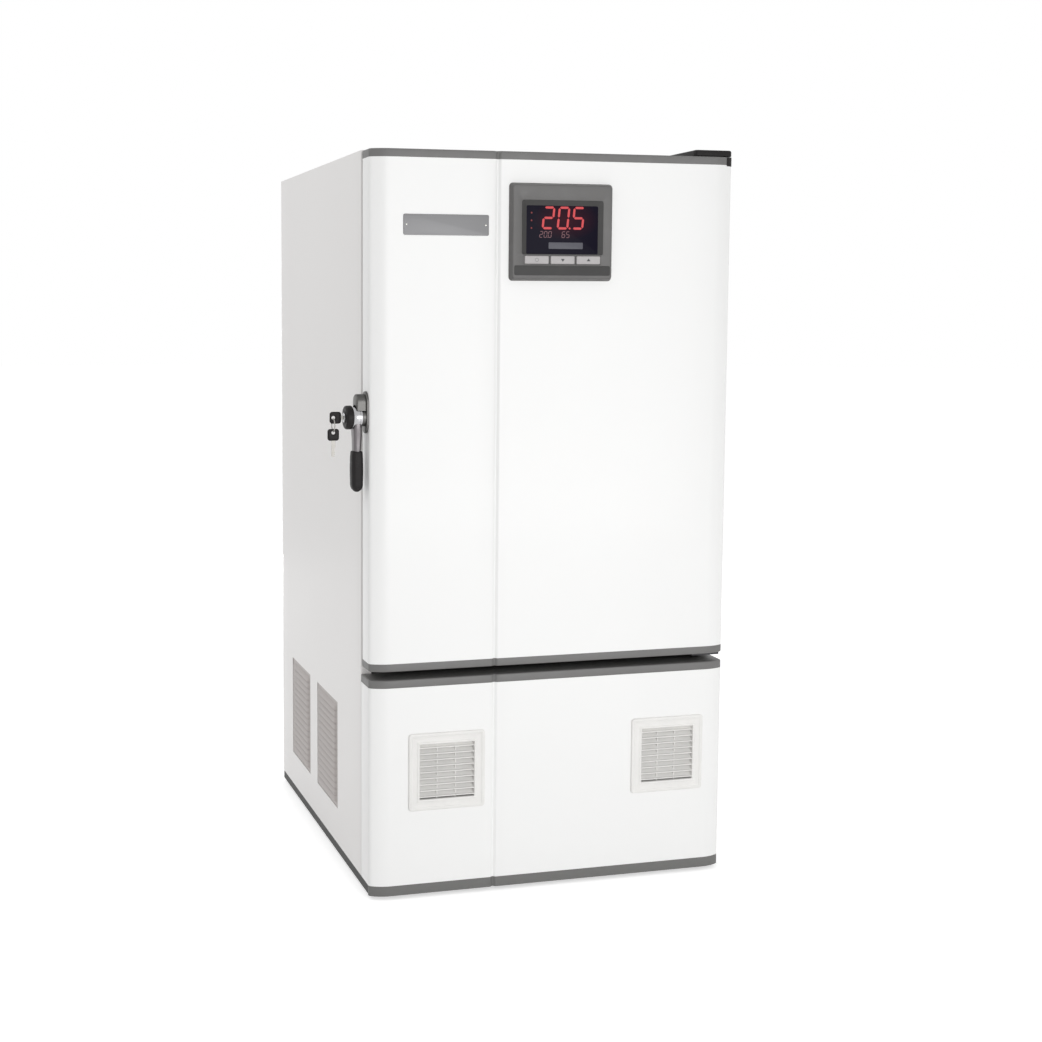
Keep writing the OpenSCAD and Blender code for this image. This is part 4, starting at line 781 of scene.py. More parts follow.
def screw_head(surface, centre, axis):
    """A pan head: a polar grid whose height is a flat dome less a cross-shaped recess with
    tapered walls."""
    radius, height, recess_part, arm_slope = 3.9, 2.3, 0.62, 3.2
    r = np.concatenate([np.linspace(0, recess_part, 7), [0.8, 0.92, 1.0, 1.0]]) * radius
    angle = np.linspace(0, 2 * pi, 40, endpoint=False)
    u, v = r[:, None] * np.cos(angle), r[:, None] * np.sin(angle)
    arm = np.minimum(np.abs(u) + arm_slope * np.abs(v), np.abs(v) + arm_slope * np.abs(u))
    recess = np.clip(1 - arm / (recess_part * radius), 0, 0.6) * 2.2
    dome = height * np.sqrt(np.clip(1 - (r / radius) ** 2 * 0.72, 0, 1))[:, None] - recess
    dome[-1] = 0
    rows = np.stack([np.insert(row, axis, 0.0, axis=1) for row in np.stack([u, v], -1)])
    rows[..., axis] += dome
    surface.grid(rows + np.array(centre, float), wrap=(False, True), caps=(False, True))


def make_fasteners():
    """Pan-head screws of the rear, of the lower panel's flanges and of the top hinge."""
    heads = Surface()
    door_low = corners("door_bottom_cap")[0][2]
    from_end = 40
    low, high = CASE_Z[0] + from_end, CASE_Z[1] - from_end
    rear = [low, door_low - from_end, *np.linspace(door_low + from_end, high, 5)]
    for x in (-HALF + 8, HALF - 8):
        for z in rear:
            screw_head(heads, (x, DEPTH, z), 1)
    panel_top = corners("lower_panel")[1][2]
    for x in (-HALF + 9.5, HALF - 9.5):
        for z in np.linspace(low, panel_top - from_end, 3):
            screw_head(heads, (x, CASE_Y + SHEET, z), 1)
    axis_x, plate_top = HALF - 14, corners("top_hinge")[1][2]
    for inwards, back in ((44, 30), (12, 30), (28, 60)):
        screw_head(heads, (axis_x - inwards, CASE_Y + back, plate_top), 2)
    heads.piece("screw_heads", "cabinet", "zinc", zinc(), ("panel_screws",))


def make_vents(finish):
    """Front vents: a moulded frame of one section, raked blades carried across it, and two
    dividers behind them."""
    vents = Surface()
    width, height = VENT_HALF[0] * 2, VENT_HALF[1] * 2
    frame_section = [
        (8.5, 16), (8.5, 0.05), (0.4, 0.05), (0, -0.4), (0, -2.6), (0.5, -3.5), (1.5, -4), (5, -4),
        (5.8, -3.8), (6.6, -2.8), (7.6, -2.5), (15.8, -2.5), (16.6, -2.8), (17.2, -3.7), (18, -4),
        (19.8, -4), (20.6, -3.6), (21, -2.8), (21, 14), (20, 16)]
    blade_y = np.array([-2.2, -2.6, -2.2, -0.5, 2, 5, 8, 11, 11.2, 8.2, 5.2, 2.4, 0.2, -1.2])
    blade_z = np.array([1.1, 0.2, -0.6, -0.2, 0.9, 3.5, 6.6, 9.8, 11, 8.3, 5.5, 3.0, 1.5, 1.4])
    blades, blade_in, divider = 9, 20.5, 18
    open_h = height - 42
    for x in VENT_X:
        vents.hoop(layers((x, VENT_Z), (width, height), 6, frame_section))
        ends = [x - VENT_HALF[0] + blade_in, x - divider, x + divider, x + VENT_HALF[0] - blade_in]
        for k in range(blades):
            z = VENT_Z - open_h / 2 + (k + 0.35) * open_h / blades
            vents.loft([np.stack([np.full(len(blade_y), end), blade_y, blade_z + z], 1)
                        for end in ends])
        for dx in (-divider, divider):
            bar(vents, (x + dx - 0.9, 3, VENT_Z - open_h / 2 - 1),
                (x + dx + 0.9, 12, VENT_Z + open_h / 2 + 1), 0.4, 0.5)
    vents.piece("vent_mouldings", "cabinet", "vent_plastic", finish, ("vent_grilles",))


def make_lower_front(sizes, finishes):
    """Lower front panel with its groove and vent windows, its cap, and the two moulded vents."""
    depth, fold = sizes.groove_depth * 1000, sizes.fold_radius * 1000
    low, high = corners("lower_panel")
    back, lap = CASE_Y - 0.4, 9
    holes = [(x - VENT_HALF[0] + lap, x + VENT_HALF[0] - lap,
              VENT_Z - VENT_HALF[1] + lap, VENT_Z + VENT_HALF[1] - lap) for x in VENT_X]
    pressed_front(depth, back, fold, HALF - 14, low[2], high[2], holes).piece(
        "lower_front", "cabinet", "white_enamel", front_enamel(finishes), ("lower_panel",), SHEET,
        away=IN_CABINET)
    cap_low, cap_high = corners("lower_panel_cap")
    capping(depth, back, cap_low[2], cap_high[2]).piece(
        "lower_front_cap", "cabinet", "cap_plastic", grey_caps(finishes), ("lower_panel_cap",))
    make_vents(moulding("vent_plastic", finishes.vent, 0.4))


def make_side_louvres(finishes):
    """Louvre plates: a sheet pushed out in hoods. A hood swells from its top to its lip, fades to
    nothing at its ends, and ends in a drop back to the sheet."""
    low, high = (corner[2] for corner in corners("side_grilles"))
    hoods, reach, rim, half = 15, 4.7, 12, LOUVRE_WIDE / 2
    y = np.concatenate([[-half, -half + rim], np.linspace(-81, -70, 7), np.linspace(-60, 60, 5),
                        np.linspace(70, 81, 7), [half - rim, half]])
    ends = np.clip((82 - np.abs(y)) / 12, 0, 1)
    ends = np.sin(ends * pi / 2) ** 0.8
    pitch = (high - low - 2 * rim) / hoods
    up = np.array([0.159, 0.16, 0.2, 0.35, 0.55, 0.75, 0.9, 1.0])
    swell = np.array([0.0, 0.93, 1.0, 0.94, 0.8, 0.58, 0.3, 0.0])
    starts = low + rim + np.arange(hoods) * pitch
    z = np.concatenate([[low], (starts[:, None] + up * pitch).ravel(), [high]])
    out = np.concatenate([[0.0], np.tile(swell, hoods), [0.0]])
    grid_y, grid_z = np.meshgrid(y, z)
    push = np.outer(out, ends) * reach
    # The plates' grey is painted shade under the hoods and in the closed slots.
    grey = enamel("louvre_enamel", finishes.louvre, 0.45, 0.1)
    for way, side in ((-1, "left"), (1, "right")):
        plates = Surface()
        for centre in louvre_middles():
            plates.grid(np.stack([way * (HALF - SHEET + push), grid_y + centre, grid_z], -1))
        plates.piece("louvre_plates_" + side, "cabinet", "louvre_enamel", grey, ("side_grilles",),
                     1.2, away=IN_CABINET)


def make_door_pan(finish):
    """Door liner: rounded outlines that rise into a dish and fall again to a shallow middle."""
    low, high = corners("inner_chamber")
    dish_x, dish_z = high[0] - 15, (low[2] + 12, high[2] - 12)
    middle, tall = (dish_z[0] + dish_z[1]) / 2, dish_z[1] - dish_z[0]
    edge, centre = HALF - 14.2, (SKIN_Z[0] + SKIN_Z[1]) / 2
    rings = [stand(rounded(2 * edge, SKIN_Z[1] - SKIN_Z[0] - 0.4, 2) + (0, centre),
                   DOOR_BACK - 0.05, 1)]
    rise = [(0, 0.05), (0.5, 0.3), (1.2, 1.2), (1.8, 3), (4, 11.5), (5, 13.6), (7, 14.7), (9.5, 15)]
    fall = [(60, 15), (64, 14.6), (68, 13.4), (74, 12.6), (80, 12.5)]
    for i, h in rise + fall:
        outline = rounded(2 * dish_x - 2 * i, tall - 2 * i, 16) + (0, middle)
        rings.append(stand(outline, DOOR_BACK - h, 1))
    Surface().loft(rings, (False, True)).piece(
        "door_pan", "door", "white_enamel", finish, ("door_liner",), SHEET, away=BEFORE_DOOR)


def make_gasket():
    """Gasket: one section of a foot, two bellows folds and a sealing face, carried round."""
    low, high = corners("door_gasket")
    half_section = [(0.5, 0), (0, 0.6), (0, 2.3), (0.8, 3), (5.2, 3.4), (6.4, 4.4), (6.4, 5.2),
                    (5.2, 6.2), (2.8, 6.7), (2, 7.4), (2, 9), (2.6, 9.6)]
    width = 26
    section = half_section + [(width - i, h) for i, h in reversed(half_section)]
    seal = Surface()
    seal.hoop(layers(((low[0] + high[0]) / 2, (low[2] + high[2]) / 2),
                     (high[0] - low[0], high[2] - low[2]), 4,
                     [(i, DOOR_BACK + h) for i, h in section]))
    seal.piece("bellows_gasket", "door", "gasket_rubber",
               rubber("gasket_rubber", (0.34, 0.34, 0.335)), ("door_gasket",))


def make_bare_plate():
    """A bare metal plate at the door's upper left, with a domed rivet at each end."""
    x, z, width, height, rivet_in = -217, 1262, 164, 38, 6
    plate, rivets = Surface(), Surface()
    slab(plate, (x, z), (width, height), 3, soft(-0.02, -1.0, 0.1, 0.45))
    plate.piece("bare_plate", "door", "",
                brushed("plate_aluminium", (0.15, 0.15, 0.153), 0, 0.42))
    dome = [(0, -0.95), (1.8, -0.95), (1.8, -1.1), (1.5, -1.5), (0.8, -1.8), (0, -1.9)]
    for way in (-1, 1):
        turned(rivets, dome, (x + way * (width / 2 - rivet_in), 0, z), 1, 16)
    rivets.piece("plate_rivets", "door", "zinc", zinc())


def make_door(sizes, finishes):
    """Outer door: pressed skin, two end caps, dished liner, gasket and the bare plate."""
    depth, fold = sizes.groove_depth * 1000, sizes.fold_radius * 1000
    low, high = corners("display_bezel")
    lap = 8
    hole = [(low[0] + lap, high[0] - lap, low[2] + lap, high[2] - lap)]
    pressed_front(depth, DOOR_BACK, fold, HALF - 13, *SKIN_Z, hole).piece(
        "door_sheet", "door", "white_enamel", front_enamel(finishes), ("door_skin",), SHEET,
        away=IN_CABINET)
    ends = (("top", SKIN_Z[1], corners("door_top_cap")[1][2]),
            ("bottom", SKIN_Z[0], corners("door_bottom_cap")[0][2]))
    for end, start, stop in ends:
        capping(depth, DOOR_BACK, start, stop).piece(
            "door_cap_" + end, "door", "cap_plastic", grey_caps(finishes),
            ("door_" + end + "_cap",))
    make_door_pan(liner_enamel(finishes))
    make_gasket()
    make_bare_plate()


def make_hinges(sizes, finishes):
    """A black block round the right end of the door's top cap, painted shade for the cap's bowed
    corner, and the moulded cover of the top hinge: rounded rectangles drawn in to a shallow crown."""
    black = black_plastic(finishes)
    cap_low, cap_high = corners("door_top_cap")
    edge = front_profile(sizes.groove_depth * 1000)
    reach = HALF - 15
    edge = np.vstack([edge[edge[:, 0] > reach], [[HALF, 30], [reach, 30]]])
    # Painted shade: a black block just outside the top cap's right end, where the cap's corner
    # turns from the light.
    Surface().loft([stand(inset(edge, i - 0.8), h, 2)
                    for i, h in soft(cap_low[2] - 2, cap_high[2] + 0.2, 0.5)]).piece(
        "cap_corner_shade", "door", "black_plastic", black)
    low, high = corners("hinge_cover")
    crown = [(0.6, low[2] + 0.02), (0, low[2] + 0.8), (0, high[2] - 3.4), (0.5, high[2] - 2.0),
             (1.6, high[2] - 0.9), (3.4, high[2] - 0.3), (8, high[2] - 0.05), (14, high[2])]
    slab(Surface(), (low[:2] + high[:2]) / 2, (high - low)[:2], 7, crown, 2).piece(
        "hinge_cap", "cabinet", "black_plastic", black, ("hinge_cover",))


# Bars of each digit, and the bars' ends in halves of its width and height
SEGMENTS = {"0": "abcdef", "1": "bc", "2": "abged", "3": "abgcd", "4": "fgbc", "5": "afgcd",
            "6": "afgcde", "7": "abc", "8": "abcdefg", "9": "abfgcd"}
BAR_ENDS = {"a": ((0, 2), (1, 2)), "b": ((1, 2), (1, 1)), "c": ((1, 1), (1, 0)),
            "d": ((0, 0), (1, 0)), "e": ((0, 0), (0, 1)), "f": ((0, 1), (0, 2)),
            "g": ((0, 1), (1, 1))}


def segment(surface, a, b, thick, y):
    """One lit bar between two points of the display's plane: a thin hexagon with pointed ends."""
    a, b = np.array(a, float), np.array(b, float)
    way = (b - a) / np.linalg.norm(b - a)
    side = np.array([-way[1], way[0]]) * thick / 2
    nip = way * thick / 2
    flat = np.array([a, a + nip + side, b - nip + side, b, b - nip - side, a + nip - side])
    surface.loft([stand(flat, y, 1), stand(flat, y - 0.12, 1)])


def digits(surface, text, left, base, height, y):
    """Digits of seven bars, leaning by a tenth of their height; a full stop adds a point."""
    half, thick, gap = height / 2, height * 0.11, height * 0.02
    width, pitch, lean, x = height * 0.5, 0.78, 0.1, left
    for sign in text:
        if sign == ".":
            dot = x - height * (pitch - 0.5) * 0.55
            segment(surface, (dot - thick * 0.55, base), (dot + thick * 0.55, base), thick, y)
            continue
        for name in SEGMENTS[sign]:
            p, q = (np.array([x + u * width + v * half * lean, base + v * half])
                    for u, v in BAR_ENDS[name])
            way = (q - p) / np.linalg.norm(q - p) * gap
            segment(surface, p + way, q - way, thick, y)
        x += height * pitch


class Display:
    """Where the controller's parts are: its bezel, its window and its row of keys."""

    def __init__(self):
        self.low, self.high = corners("display_bezel")
        self.centre = ((self.low[0] + self.high[0]) / 2, (self.low[2] + self.high[2]) / 2)
        self.width, self.height = self.high[0] - self.low[0], self.high[2] - self.low[2]
        self.face = self.low[1]
        low, high = corners("display_window")
        self.x0, self.x1, self.z0, self.z1 = low[0] + 3, high[0] - 3, low[2] + 1.4, high[2] - 3
        self.glass, self.glass_back = low[1], high[1]
        self.keys = {which: corners("key_" + which) for which in ("set", "down", "up")}
        low, high = self.keys["set"]
        self.key_z0, self.key_z1, self.key_face = low[2] + 1.2, high[2] - 1.2, low[1]


def well(bezel, face, outer, radii, opening, radius, floor):
    """A part of the bezel's face with a rounded opening that goes in to a floor."""
    (x0, x1, z0, z1), (u0, u1, v0, v1) = outer, opening
    rings = [stand(rounded(x1 - x0, z1 - z0, radii) + ((x0 + x1) / 2, (z0 + z1) / 2), face, 1)]
    middle = (u0 + u1) / 2, (v0 + v1) / 2
    for grow, y in ((0.9, face), (0.3, face + 0.25), (0, face + 0.9), (0, floor)):
        outline = rounded(u1 - u0 + 2 * grow, v1 - v0 + 2 * grow, radius + grow) + middle
        rings.append(stand(outline, y, 1))
    bezel.loft(rings, (False, True))


def make_bezel(at, finishes):
    """Bezel: tapered sides, and a face with one well for the window and one for the keys. Then the
    darker surround, whose section slopes from the face down to the window, and the chin's plate,
    both in a copy of the bezel's moulding at 0.32 of its tone; on the chin's plate that darker tone
    is painted shade."""
    mid_x, mid_z = at.centre
    face = at.face
    bezel = Surface()
    sides = [(0, 0), (0, -1.0), (0.6, -2.2), (3.2, face + 2.2), (3.8, face + 0.8),
             (4.6, face + 0.2), (6, face)]
    bezel.loft([stand(rounded(at.width - 2 * i, at.height - 2 * i, 7 - i * 0.5) + at.centre, y, 1)
                for i, y in sides], (True, False))
    edge, split = 6, at.z0 - 1.5
    inner_w = at.width - 2 * edge
    inner_top, inner_low = mid_z + at.height / 2 - edge, mid_z - at.height / 2 + edge
    left, right = mid_x - inner_w / 2, mid_x + inner_w / 2
    round_top, round_low = (4, 4, 0.01, 0.01), (0.01, 0.01, 4, 4)
    half, play = 80.2, 0.3
    well(bezel, face, (left, right, split, inner_top), round_top,
         (mid_x - half, mid_x + half, at.z0, at.z1 + 1), 3.5, at.glass + 0.1)
    well(bezel, face, (left, right, inner_low, split), round_low,
         (at.x0 - play, at.x1 + play, at.key_z0 - play, at.key_z1 + play), 1.5, at.glass)
    bezel.piece("display_frame", "door", "bezel_plastic",
                moulding("bezel_plastic", finishes.bezel, 0.4), ("display_bezel",), angle=28)
    dark, glass = Surface(), at.glass
    section = [(0, face + 1), (0, face - 0.1), (0.05, face - 0.3), (0.12, face - 0.2),
               (0.93, glass - 0.35), (1, glass - 0.2), (1, glass - 0.02)]
    rings = []
    for t, y in section:
        top, base, wide = at.z1 + 1 - 9.5 * t, at.z0 - 1.3 + 1.8 * t, 160.6 - 18.8 * t
        outline = rounded(wide, top - base, 3.8 - 1.5 * t) + (mid_x, (top + base) / 2)
        rings.append(stand(outline, y, 1))
    dark.hoop(rings)
    # The chin's plate takes the darker copy of the bezel moulding: painted shade on the bezel's
    # lower edge.
    slab(dark, (mid_x, (at.low[2] + at.key_z0) / 2 + 3.5),
         (at.width - 14, at.key_z0 - at.low[2] - 13), 3,
         [(0, face + 0.1), (0, face - 0.3), (0.4, face - 0.7), (1.2, face - 0.8)])
    dark.piece("display_surround", "door", "bezel_plastic",
               moulding("surround_plastic", shade(finishes.bezel, 0.32), 0.45, shine=0.3))


def make_window(at, tall, finishes):
    """Window with a softened edge, the lit digits, the lamps and a bare bar on it."""
    glow_x = at.x0 + 82
    glass, lit, dim, lamps, label = (Surface() for _ in range(5))
    slab(glass, ((at.x0 + at.x1) / 2, (at.z0 + at.z1) / 2),
         (at.x1 - at.x0 - 0.1, at.z1 - at.z0 - 0.1), 2.4, soft(at.glass_back, at.glass, 0.2, 0.5))
    middle = (np.array([glow_x, at.glass, at.z1 - 34]) + MIDDLE) / 1000
    glass.piece("display_glass", "door", "window_plastic",
                lit_window("window_plastic", finishes.window, tuple(middle)), ("display_window",))
    y, row, small = at.glass - 0.01, at.z1 - 67, 11
    digits(lit, "20.5", at.x0 + 36, at.z1 - 12 - tall, tall, y)
    digits(dim, "20.0", at.x0 + 30, row, small, y)
    digits(dim, "65", at.x0 + 74, row, small, y)
    lit.piece("digits_upper", "door", "", glowing("digit_light", finishes.digits, 0.7))
    dim.piece("digits_lower", "door", "", glowing("digit_light_dim", (0.5, 0.16, 0.2), 0.17))
    dome = [(0, y - 0.5), (0.9, y - 0.45), (1.6, y - 0.2), (1.8, y + 0.05), (0, y + 0.05)]
    for k in range(3):
        turned(lamps, dome, (at.x0 + 14, 0, at.z1 - 22 - 14 * k), 1, 16)
    lamps.piece("display_lamps", "door", "", glowing("lamp_light", (0.35, 0.02, 0.02), 0.35))
    slab(label, (glow_x, at.z0 + 16), (68, 12), 1.5, soft(y, y - 0.35, 0.05, 0.15))
    label.piece("bare_bar", "door", "", moulding("bar_plastic", (0.075, 0.075, 0.095), 0.4))


def make_keys(at, finishes):
    """Three pillow-shaped keys, marked with a ring, a triangle down and a triangle up."""
    light = moulding("key_plastic", finishes.keys, 0.4)
    mark = moulding("key_mark", (0.06, 0.06, 0.065), 0.5)
    z, face, ring_r = (at.key_z0 + at.key_z1) / 2, at.key_face, 3.2
    pillow = [(0.2, at.glass + 0.4), (0, at.glass + 0.2), (0, face + 1.5), (0.3, face + 0.8),
              (1.0, face + 0.4), (2.4, face + 0.25), (5, face + 0.2)]
    for which, (low, high) in at.keys.items():
        body, x = which + "_key", (low[0] + high[0]) / 2
        slab(Surface(), (x, z), (high[0] - low[0] - 2.4, at.key_z1 - at.key_z0), 2.2, pillow).piece(
            "cap_" + which, body, "key_plastic", light, ("key_" + which,))
        sign = Surface()
        if which == "set":
            turn = np.linspace(0, 2 * pi, 24, endpoint=False)
            ring = np.stack([x + ring_r * np.cos(turn), np.full(24, face + 0.3),
                             z + ring_r * np.sin(turn)], 1)
            tube(sign, ring, 0.28, 6, True)
        else:
            tip = ring_r if which == "up" else -ring_r
            base = z - tip * 0.6
            corner = np.array([(x - 3.8, base), (x + 3.8, base), (x, z + tip)])
            sign.loft([stand(corner, face + 0.3, 1), stand(corner, face + 0.06, 1)])
        sign.piece("mark_" + which, body, "", mark)


def make_controller(sizes, finishes):
    """Bezel with its surround, the window with its lit digits, and the three keys."""
    at = Display()
    make_bezel(at, finishes)
    make_window(at, sizes.digit_height * 1000, finishes)
    make_keys(at, finishes)


def side_loft(surface, outline, steps):
    """A closed block on the latch's axis: an outline in depth and height, each step an inset and
    a distance out from the side."""
    return surface.loft([stand(inset(outline, i), -out, 0) + LATCH for i, out in steps])


def arc(radius, start, end, count, centre=0.0):
    """Points of an arc in depth and height, its centre that far above the latch's axis."""
    angle = np.linspace(start, end, count)
    return np.stack([radius * np.cos(angle), centre + radius * np.sin(angle)], 1)


def make_latch_plate():
    """Escutcheon with round ends, a hood whose lower edge follows the hub, and the hub's seat."""
    fixed = Surface()
    escutcheon = np.vstack([arc(19, 0, pi, 15, 29), arc(-19, 0, pi, 15, -11)])
    side_loft(fixed, escutcheon, soft(0.02, 4, 0.1, 1.6))
    reach = np.arctan2(12.6, 15)
    hood = np.vstack([arc(15, 0, pi, 13, 28), arc(19.65, pi - reach, reach, 11)])
    side_loft(fixed, hood, soft(3.5, 22, 0.1, 3.2, 5))
    turned(fixed, [(0, -3), (17, -3), (17, -10), (0, -10)], LATCH, 0, 40)
    fixed.piece("latch_plate", "door", "chrome",
                plated("latch_plating", (0.11, 0.108, 0.105), 0.34), ("latch_body",))


def make_lever(chrome, finishes):
    """Lever: turned hub and cap, a neck of rounded rectangles that narrows downwards, and a grip
    whose outline swells, is ribbed by a cosine wave and closes in a rounded tip."""
    hub, cap, neck, grip = (Surface() for _ in range(4))
    turned(hub, [(0, -10.3), (12, -10.3), (17.6, -10.3), (18.6, -10.8), (19, -11.8), (19, -14),
                 (18.4, -14.5), (18.4, -15.3), (19, -15.8), (19, -26.4), (18.4, -27.4),
                 (17.4, -28), (12, -28), (0, -28)], LATCH, 0, 56)
    hub.piece("lever_hub", "lever", "chrome", chrome, ("latch_lever",))
    turned(cap, [(9.4, -42), (11.6, -42), (12.0, -41.6), (12.6, -40.9), (13.4, -41), (18, -41.4),
                 (19.8, -40.9), (21.1, -39.8), (21.8, -38.2), (22, -36.4), (22, -30),
                 (21.6, -28.8), (20.6, -28.1), (9.4, -28.05), (9.4, -42)], LATCH, 0, 56)
    cap.piece("lever_cap", "lever", "black_plastic", black_plastic(finishes))
    # Height, depth of the section, its thickness and its distance out from the side
    sections = [(-4, 30, 14, 19), (-16, 31, 15, 19), (-22, 30, 15.5, 18.8), (-30, 27.5, 15.5, 18.4),
                (-40, 25, 15, 18.2), (-52, 23.5, 14.5, 18.4), (-60, 23, 14, 18.6),
                (-63, 22, 13, 18.6)]
    neck.loft([stand(rounded(thick, wide, 5.5) + (-out, 0), z, 2) + LATCH
               for z, wide, thick, out in sections])
    # The neck's dark plating is painted shade.
    neck.piece("lever_neck", "lever", "", plated("neck_plating", finishes.lever, 0.32))
    top, tip_start, ribs_from, ribs_to, rib_pitch = -62, -126, -80, -122, 3.5
    z = np.concatenate([[-62.05, -62.3, -63.2, -65], np.linspace(-68, tip_start, 59),
                        [-129, -132, -134.6, -136.4, -137.5, -137.95]])
    along = (z - top) / -76
    swell = 0.86 + 0.14 * np.sin(pi * np.clip(along * 1.05, 0, 1)) ** 0.7
    tip = np.sqrt(np.clip(1 - ((tip_start - z) / 12.2) ** 2, 0.02, 1))
    tip = np.where(z < tip_start, tip, 1)
    lead = np.interp(z, [-65, -63.2, -62.3, -62.05], [1, 0.97, 0.91, 0.86])
    wave = 0.35 * (1 + np.cos((z - ribs_from) / rib_pitch * 2 * pi)) / 2
    ribs = np.where((z < ribs_from) & (z > ribs_to), wave, 0)
    grip.loft([stand(rounded(22.6 * s - 2 * rib, 27.6 * s - 2 * rib, 7.5 * min(s, 1))
                     + (-18.5, 0), h, 2) + LATCH
               for s, rib, h in zip(swell * tip * lead, ribs, z)])
    grip.piece("lever_handle", "lever", "black_plastic",
               moulding("grip_plastic", finishes.black, 0.5, 900, 0.00008, 0.22),
               ("lever_grip",), angle=50)


def key_shape(bow, blade, hole, down):
    """A key: a square bow with round corners and an eased eye, and a blade. down turns the blade
    from +X to -Z and gives it its cuts."""
    thick, eye_r, bow_in = 2.5, 3.4, (4, 0)

    def lay(flat, y):
        along, up = flat[:, 0], flat[:, 1]
        level = np.full(len(flat), y)
        return np.stack([up, level, -along] if down else [along, level, up], 1) + hole

    outer = [(1.0, 0.4), (0.3, 0.7), (0, 1.25), (0.3, 1.8), (1.0, 2.1), (1.6, 2.5)]
    inner = [(1.2, 2.5), (0.2, 1.9), (0, 1.25), (0.2, 0.6), (1.2, 0)]
    rings = [lay(rounded(22 - 2 * i, 22 - 2 * i, 5.2 - i) + bow_in, y - thick / 2)
             for i, y in outer]
    rings += [lay(rounded(2 * eye_r + 2 * grow, 2 * eye_r + 2 * grow, eye_r + grow - 0.01),
                  y - thick / 2) for grow, y in inner]
    rings.append(lay(rounded(18.8, 18.8, 3.6) + bow_in, -thick / 2))
    bow.hoop(rings)
    outlines = [rounded(11, 7, 0.8) + (20.2, 0)]
    if down:
        outlines.append(np.array([
            (25.7, -3.4), (43, -3.4), (45, -1), (45, 1), (43.5, 2.2), (42, 1.2), (40, 2.9),
            (38, 1.6), (36, 3), (34, 1.4), (32, 2.6), (30, 1.8), (28, 3.4), (25.7, 3.4)]))
    for outline in outlines:
        blade.loft([lay(outline, -0.9), lay(outline, 0.9)])


def make_lock(chrome, finishes):
    """Lock barrel, the key in it, and a second key that hangs from it on a ring."""
    barrel, loop = Surface(), Surface()
    turned(barrel, [(0, -30), (9, -30), (9, -42.9), (8.6, -43.4), (8, -43.5), (6.4, -43.5),
                    (6, -43.2), (0, -43.2)], LATCH, 0, 40)
    barrel.piece("lock_barrel", "lock", "chrome", chrome, ("lock_cylinder",))
    eye_x, ring_r = -62.5, 12
    for drop, down, body, name, node in ((0, False, "key_in_lock", "first_key", "lock_key"),
                                         (-27.4, True, "spare", "second_key", "spare_key")):
        bow, blade = Surface(), Surface()
        key_shape(bow, blade, LATCH + (eye_x, 0, drop), down)
        bow.piece(name + "_bow", body, "key_steel", black_plastic(finishes), (node,))
        blade.piece(name + "_blade", body, "key_steel", nickel())
    turn = np.linspace(0, 2 * pi, 40, endpoint=False)
    path = np.stack([np.full(40, eye_x), ring_r * np.sin(turn), ring_r * np.cos(turn) - 13.7], 1)
    tube(loop, LATCH + path, 1.0, 10, True)
    loop.piece("key_ring", "spare", "key_steel", nickel())


def make_latch(finishes):
    """Lever latch: plate and hood, hub, cap, neck and ribbed grip, the lock and its two keys."""
    chrome = plated("chrome", (0.44, 0.44, 0.45), 0.2)
    make_latch_plate()
    make_lever(chrome, finishes)
    make_lock(chrome, finishes)


def make_chamber(sizes, finishes):
    """Stainless chamber with coved corners: rounded outlines carried back, then drawn in by a
    quarter circle. Then the frame round its mouth, one section carried round, and a drain rim."""
    cove = sizes.coved_radius * 1000
    low, high = corners("inner_chamber")
    wall = 13
    x, z0, z1 = high[0] - wall, low[2] + wall, high[2] - wall
    wide, tall, centre = 2 * x, z1 - z0, (0, (z0 + z1) / 2)
    steps = [(-10, 73.3), (-1.2, 73.3), (-0.3, 73.6), (0, 74.4)]
    steps += [(0, y) for y in np.linspace(90, high[1] - cove, 8)]
    steps += [(cove * (1 - cos(t)), high[1] - 1.2 - cove * (1 - sin(t)))
              for t in np.linspace(0, pi / 2, 6)[1:]]
    rings = [stand(rounded(wide - 2 * i, tall - 2 * i, max(cove - i, 0.5)) + centre, y, 1)
             for i, y in steps]
    steel = brushed("chamber_steel", (0.60, 0.60, 0.59), 0, 0.34)
    Surface().loft(rings, (False, True)).piece(
        "coved_chamber", "cabinet", "stainless", steel, ("inner_chamber",), 1.0,
        towards=IN_CABINET)
    low, high = corners("face_frame")
    outer = high[0] * 2, high[2] - low[2], (low[2] + high[2]) / 2
    loop = [(*outer, 1, 73), (*outer, 1, 71), (outer[0] - 2, outer[1] - 2, outer[2], 1, 70.02)]
    loop += [(wide + grow, tall + grow, centre[1], cove, y)
             for grow, y in ((5, 70.02), (2, 70.5), (0.6, 71.6), (0.6, 73))]
    Surface().hoop([stand(rounded(w, h, r) + (0, c), y, 1) for w, h, c, r, y in loop]).piece(
        "mouth_frame", "cabinet", "white_enamel", liner_enamel(finishes), ("face_frame",))
    drain = Surface()
    low, high = corners("drain_pan")
    rim = [(6, 0.3), (6, 1.2), (6.6, 1.7), (10, 1.9), (12.5, 1.3), (13, 0.3), (6, 0.3)]
    turned(drain, rim, ((low[0] + high[0]) / 2, DEPTH - 160, z0), 2, 32)
    drain.piece("drain_rim", "cabinet", "stainless", polished_steel())


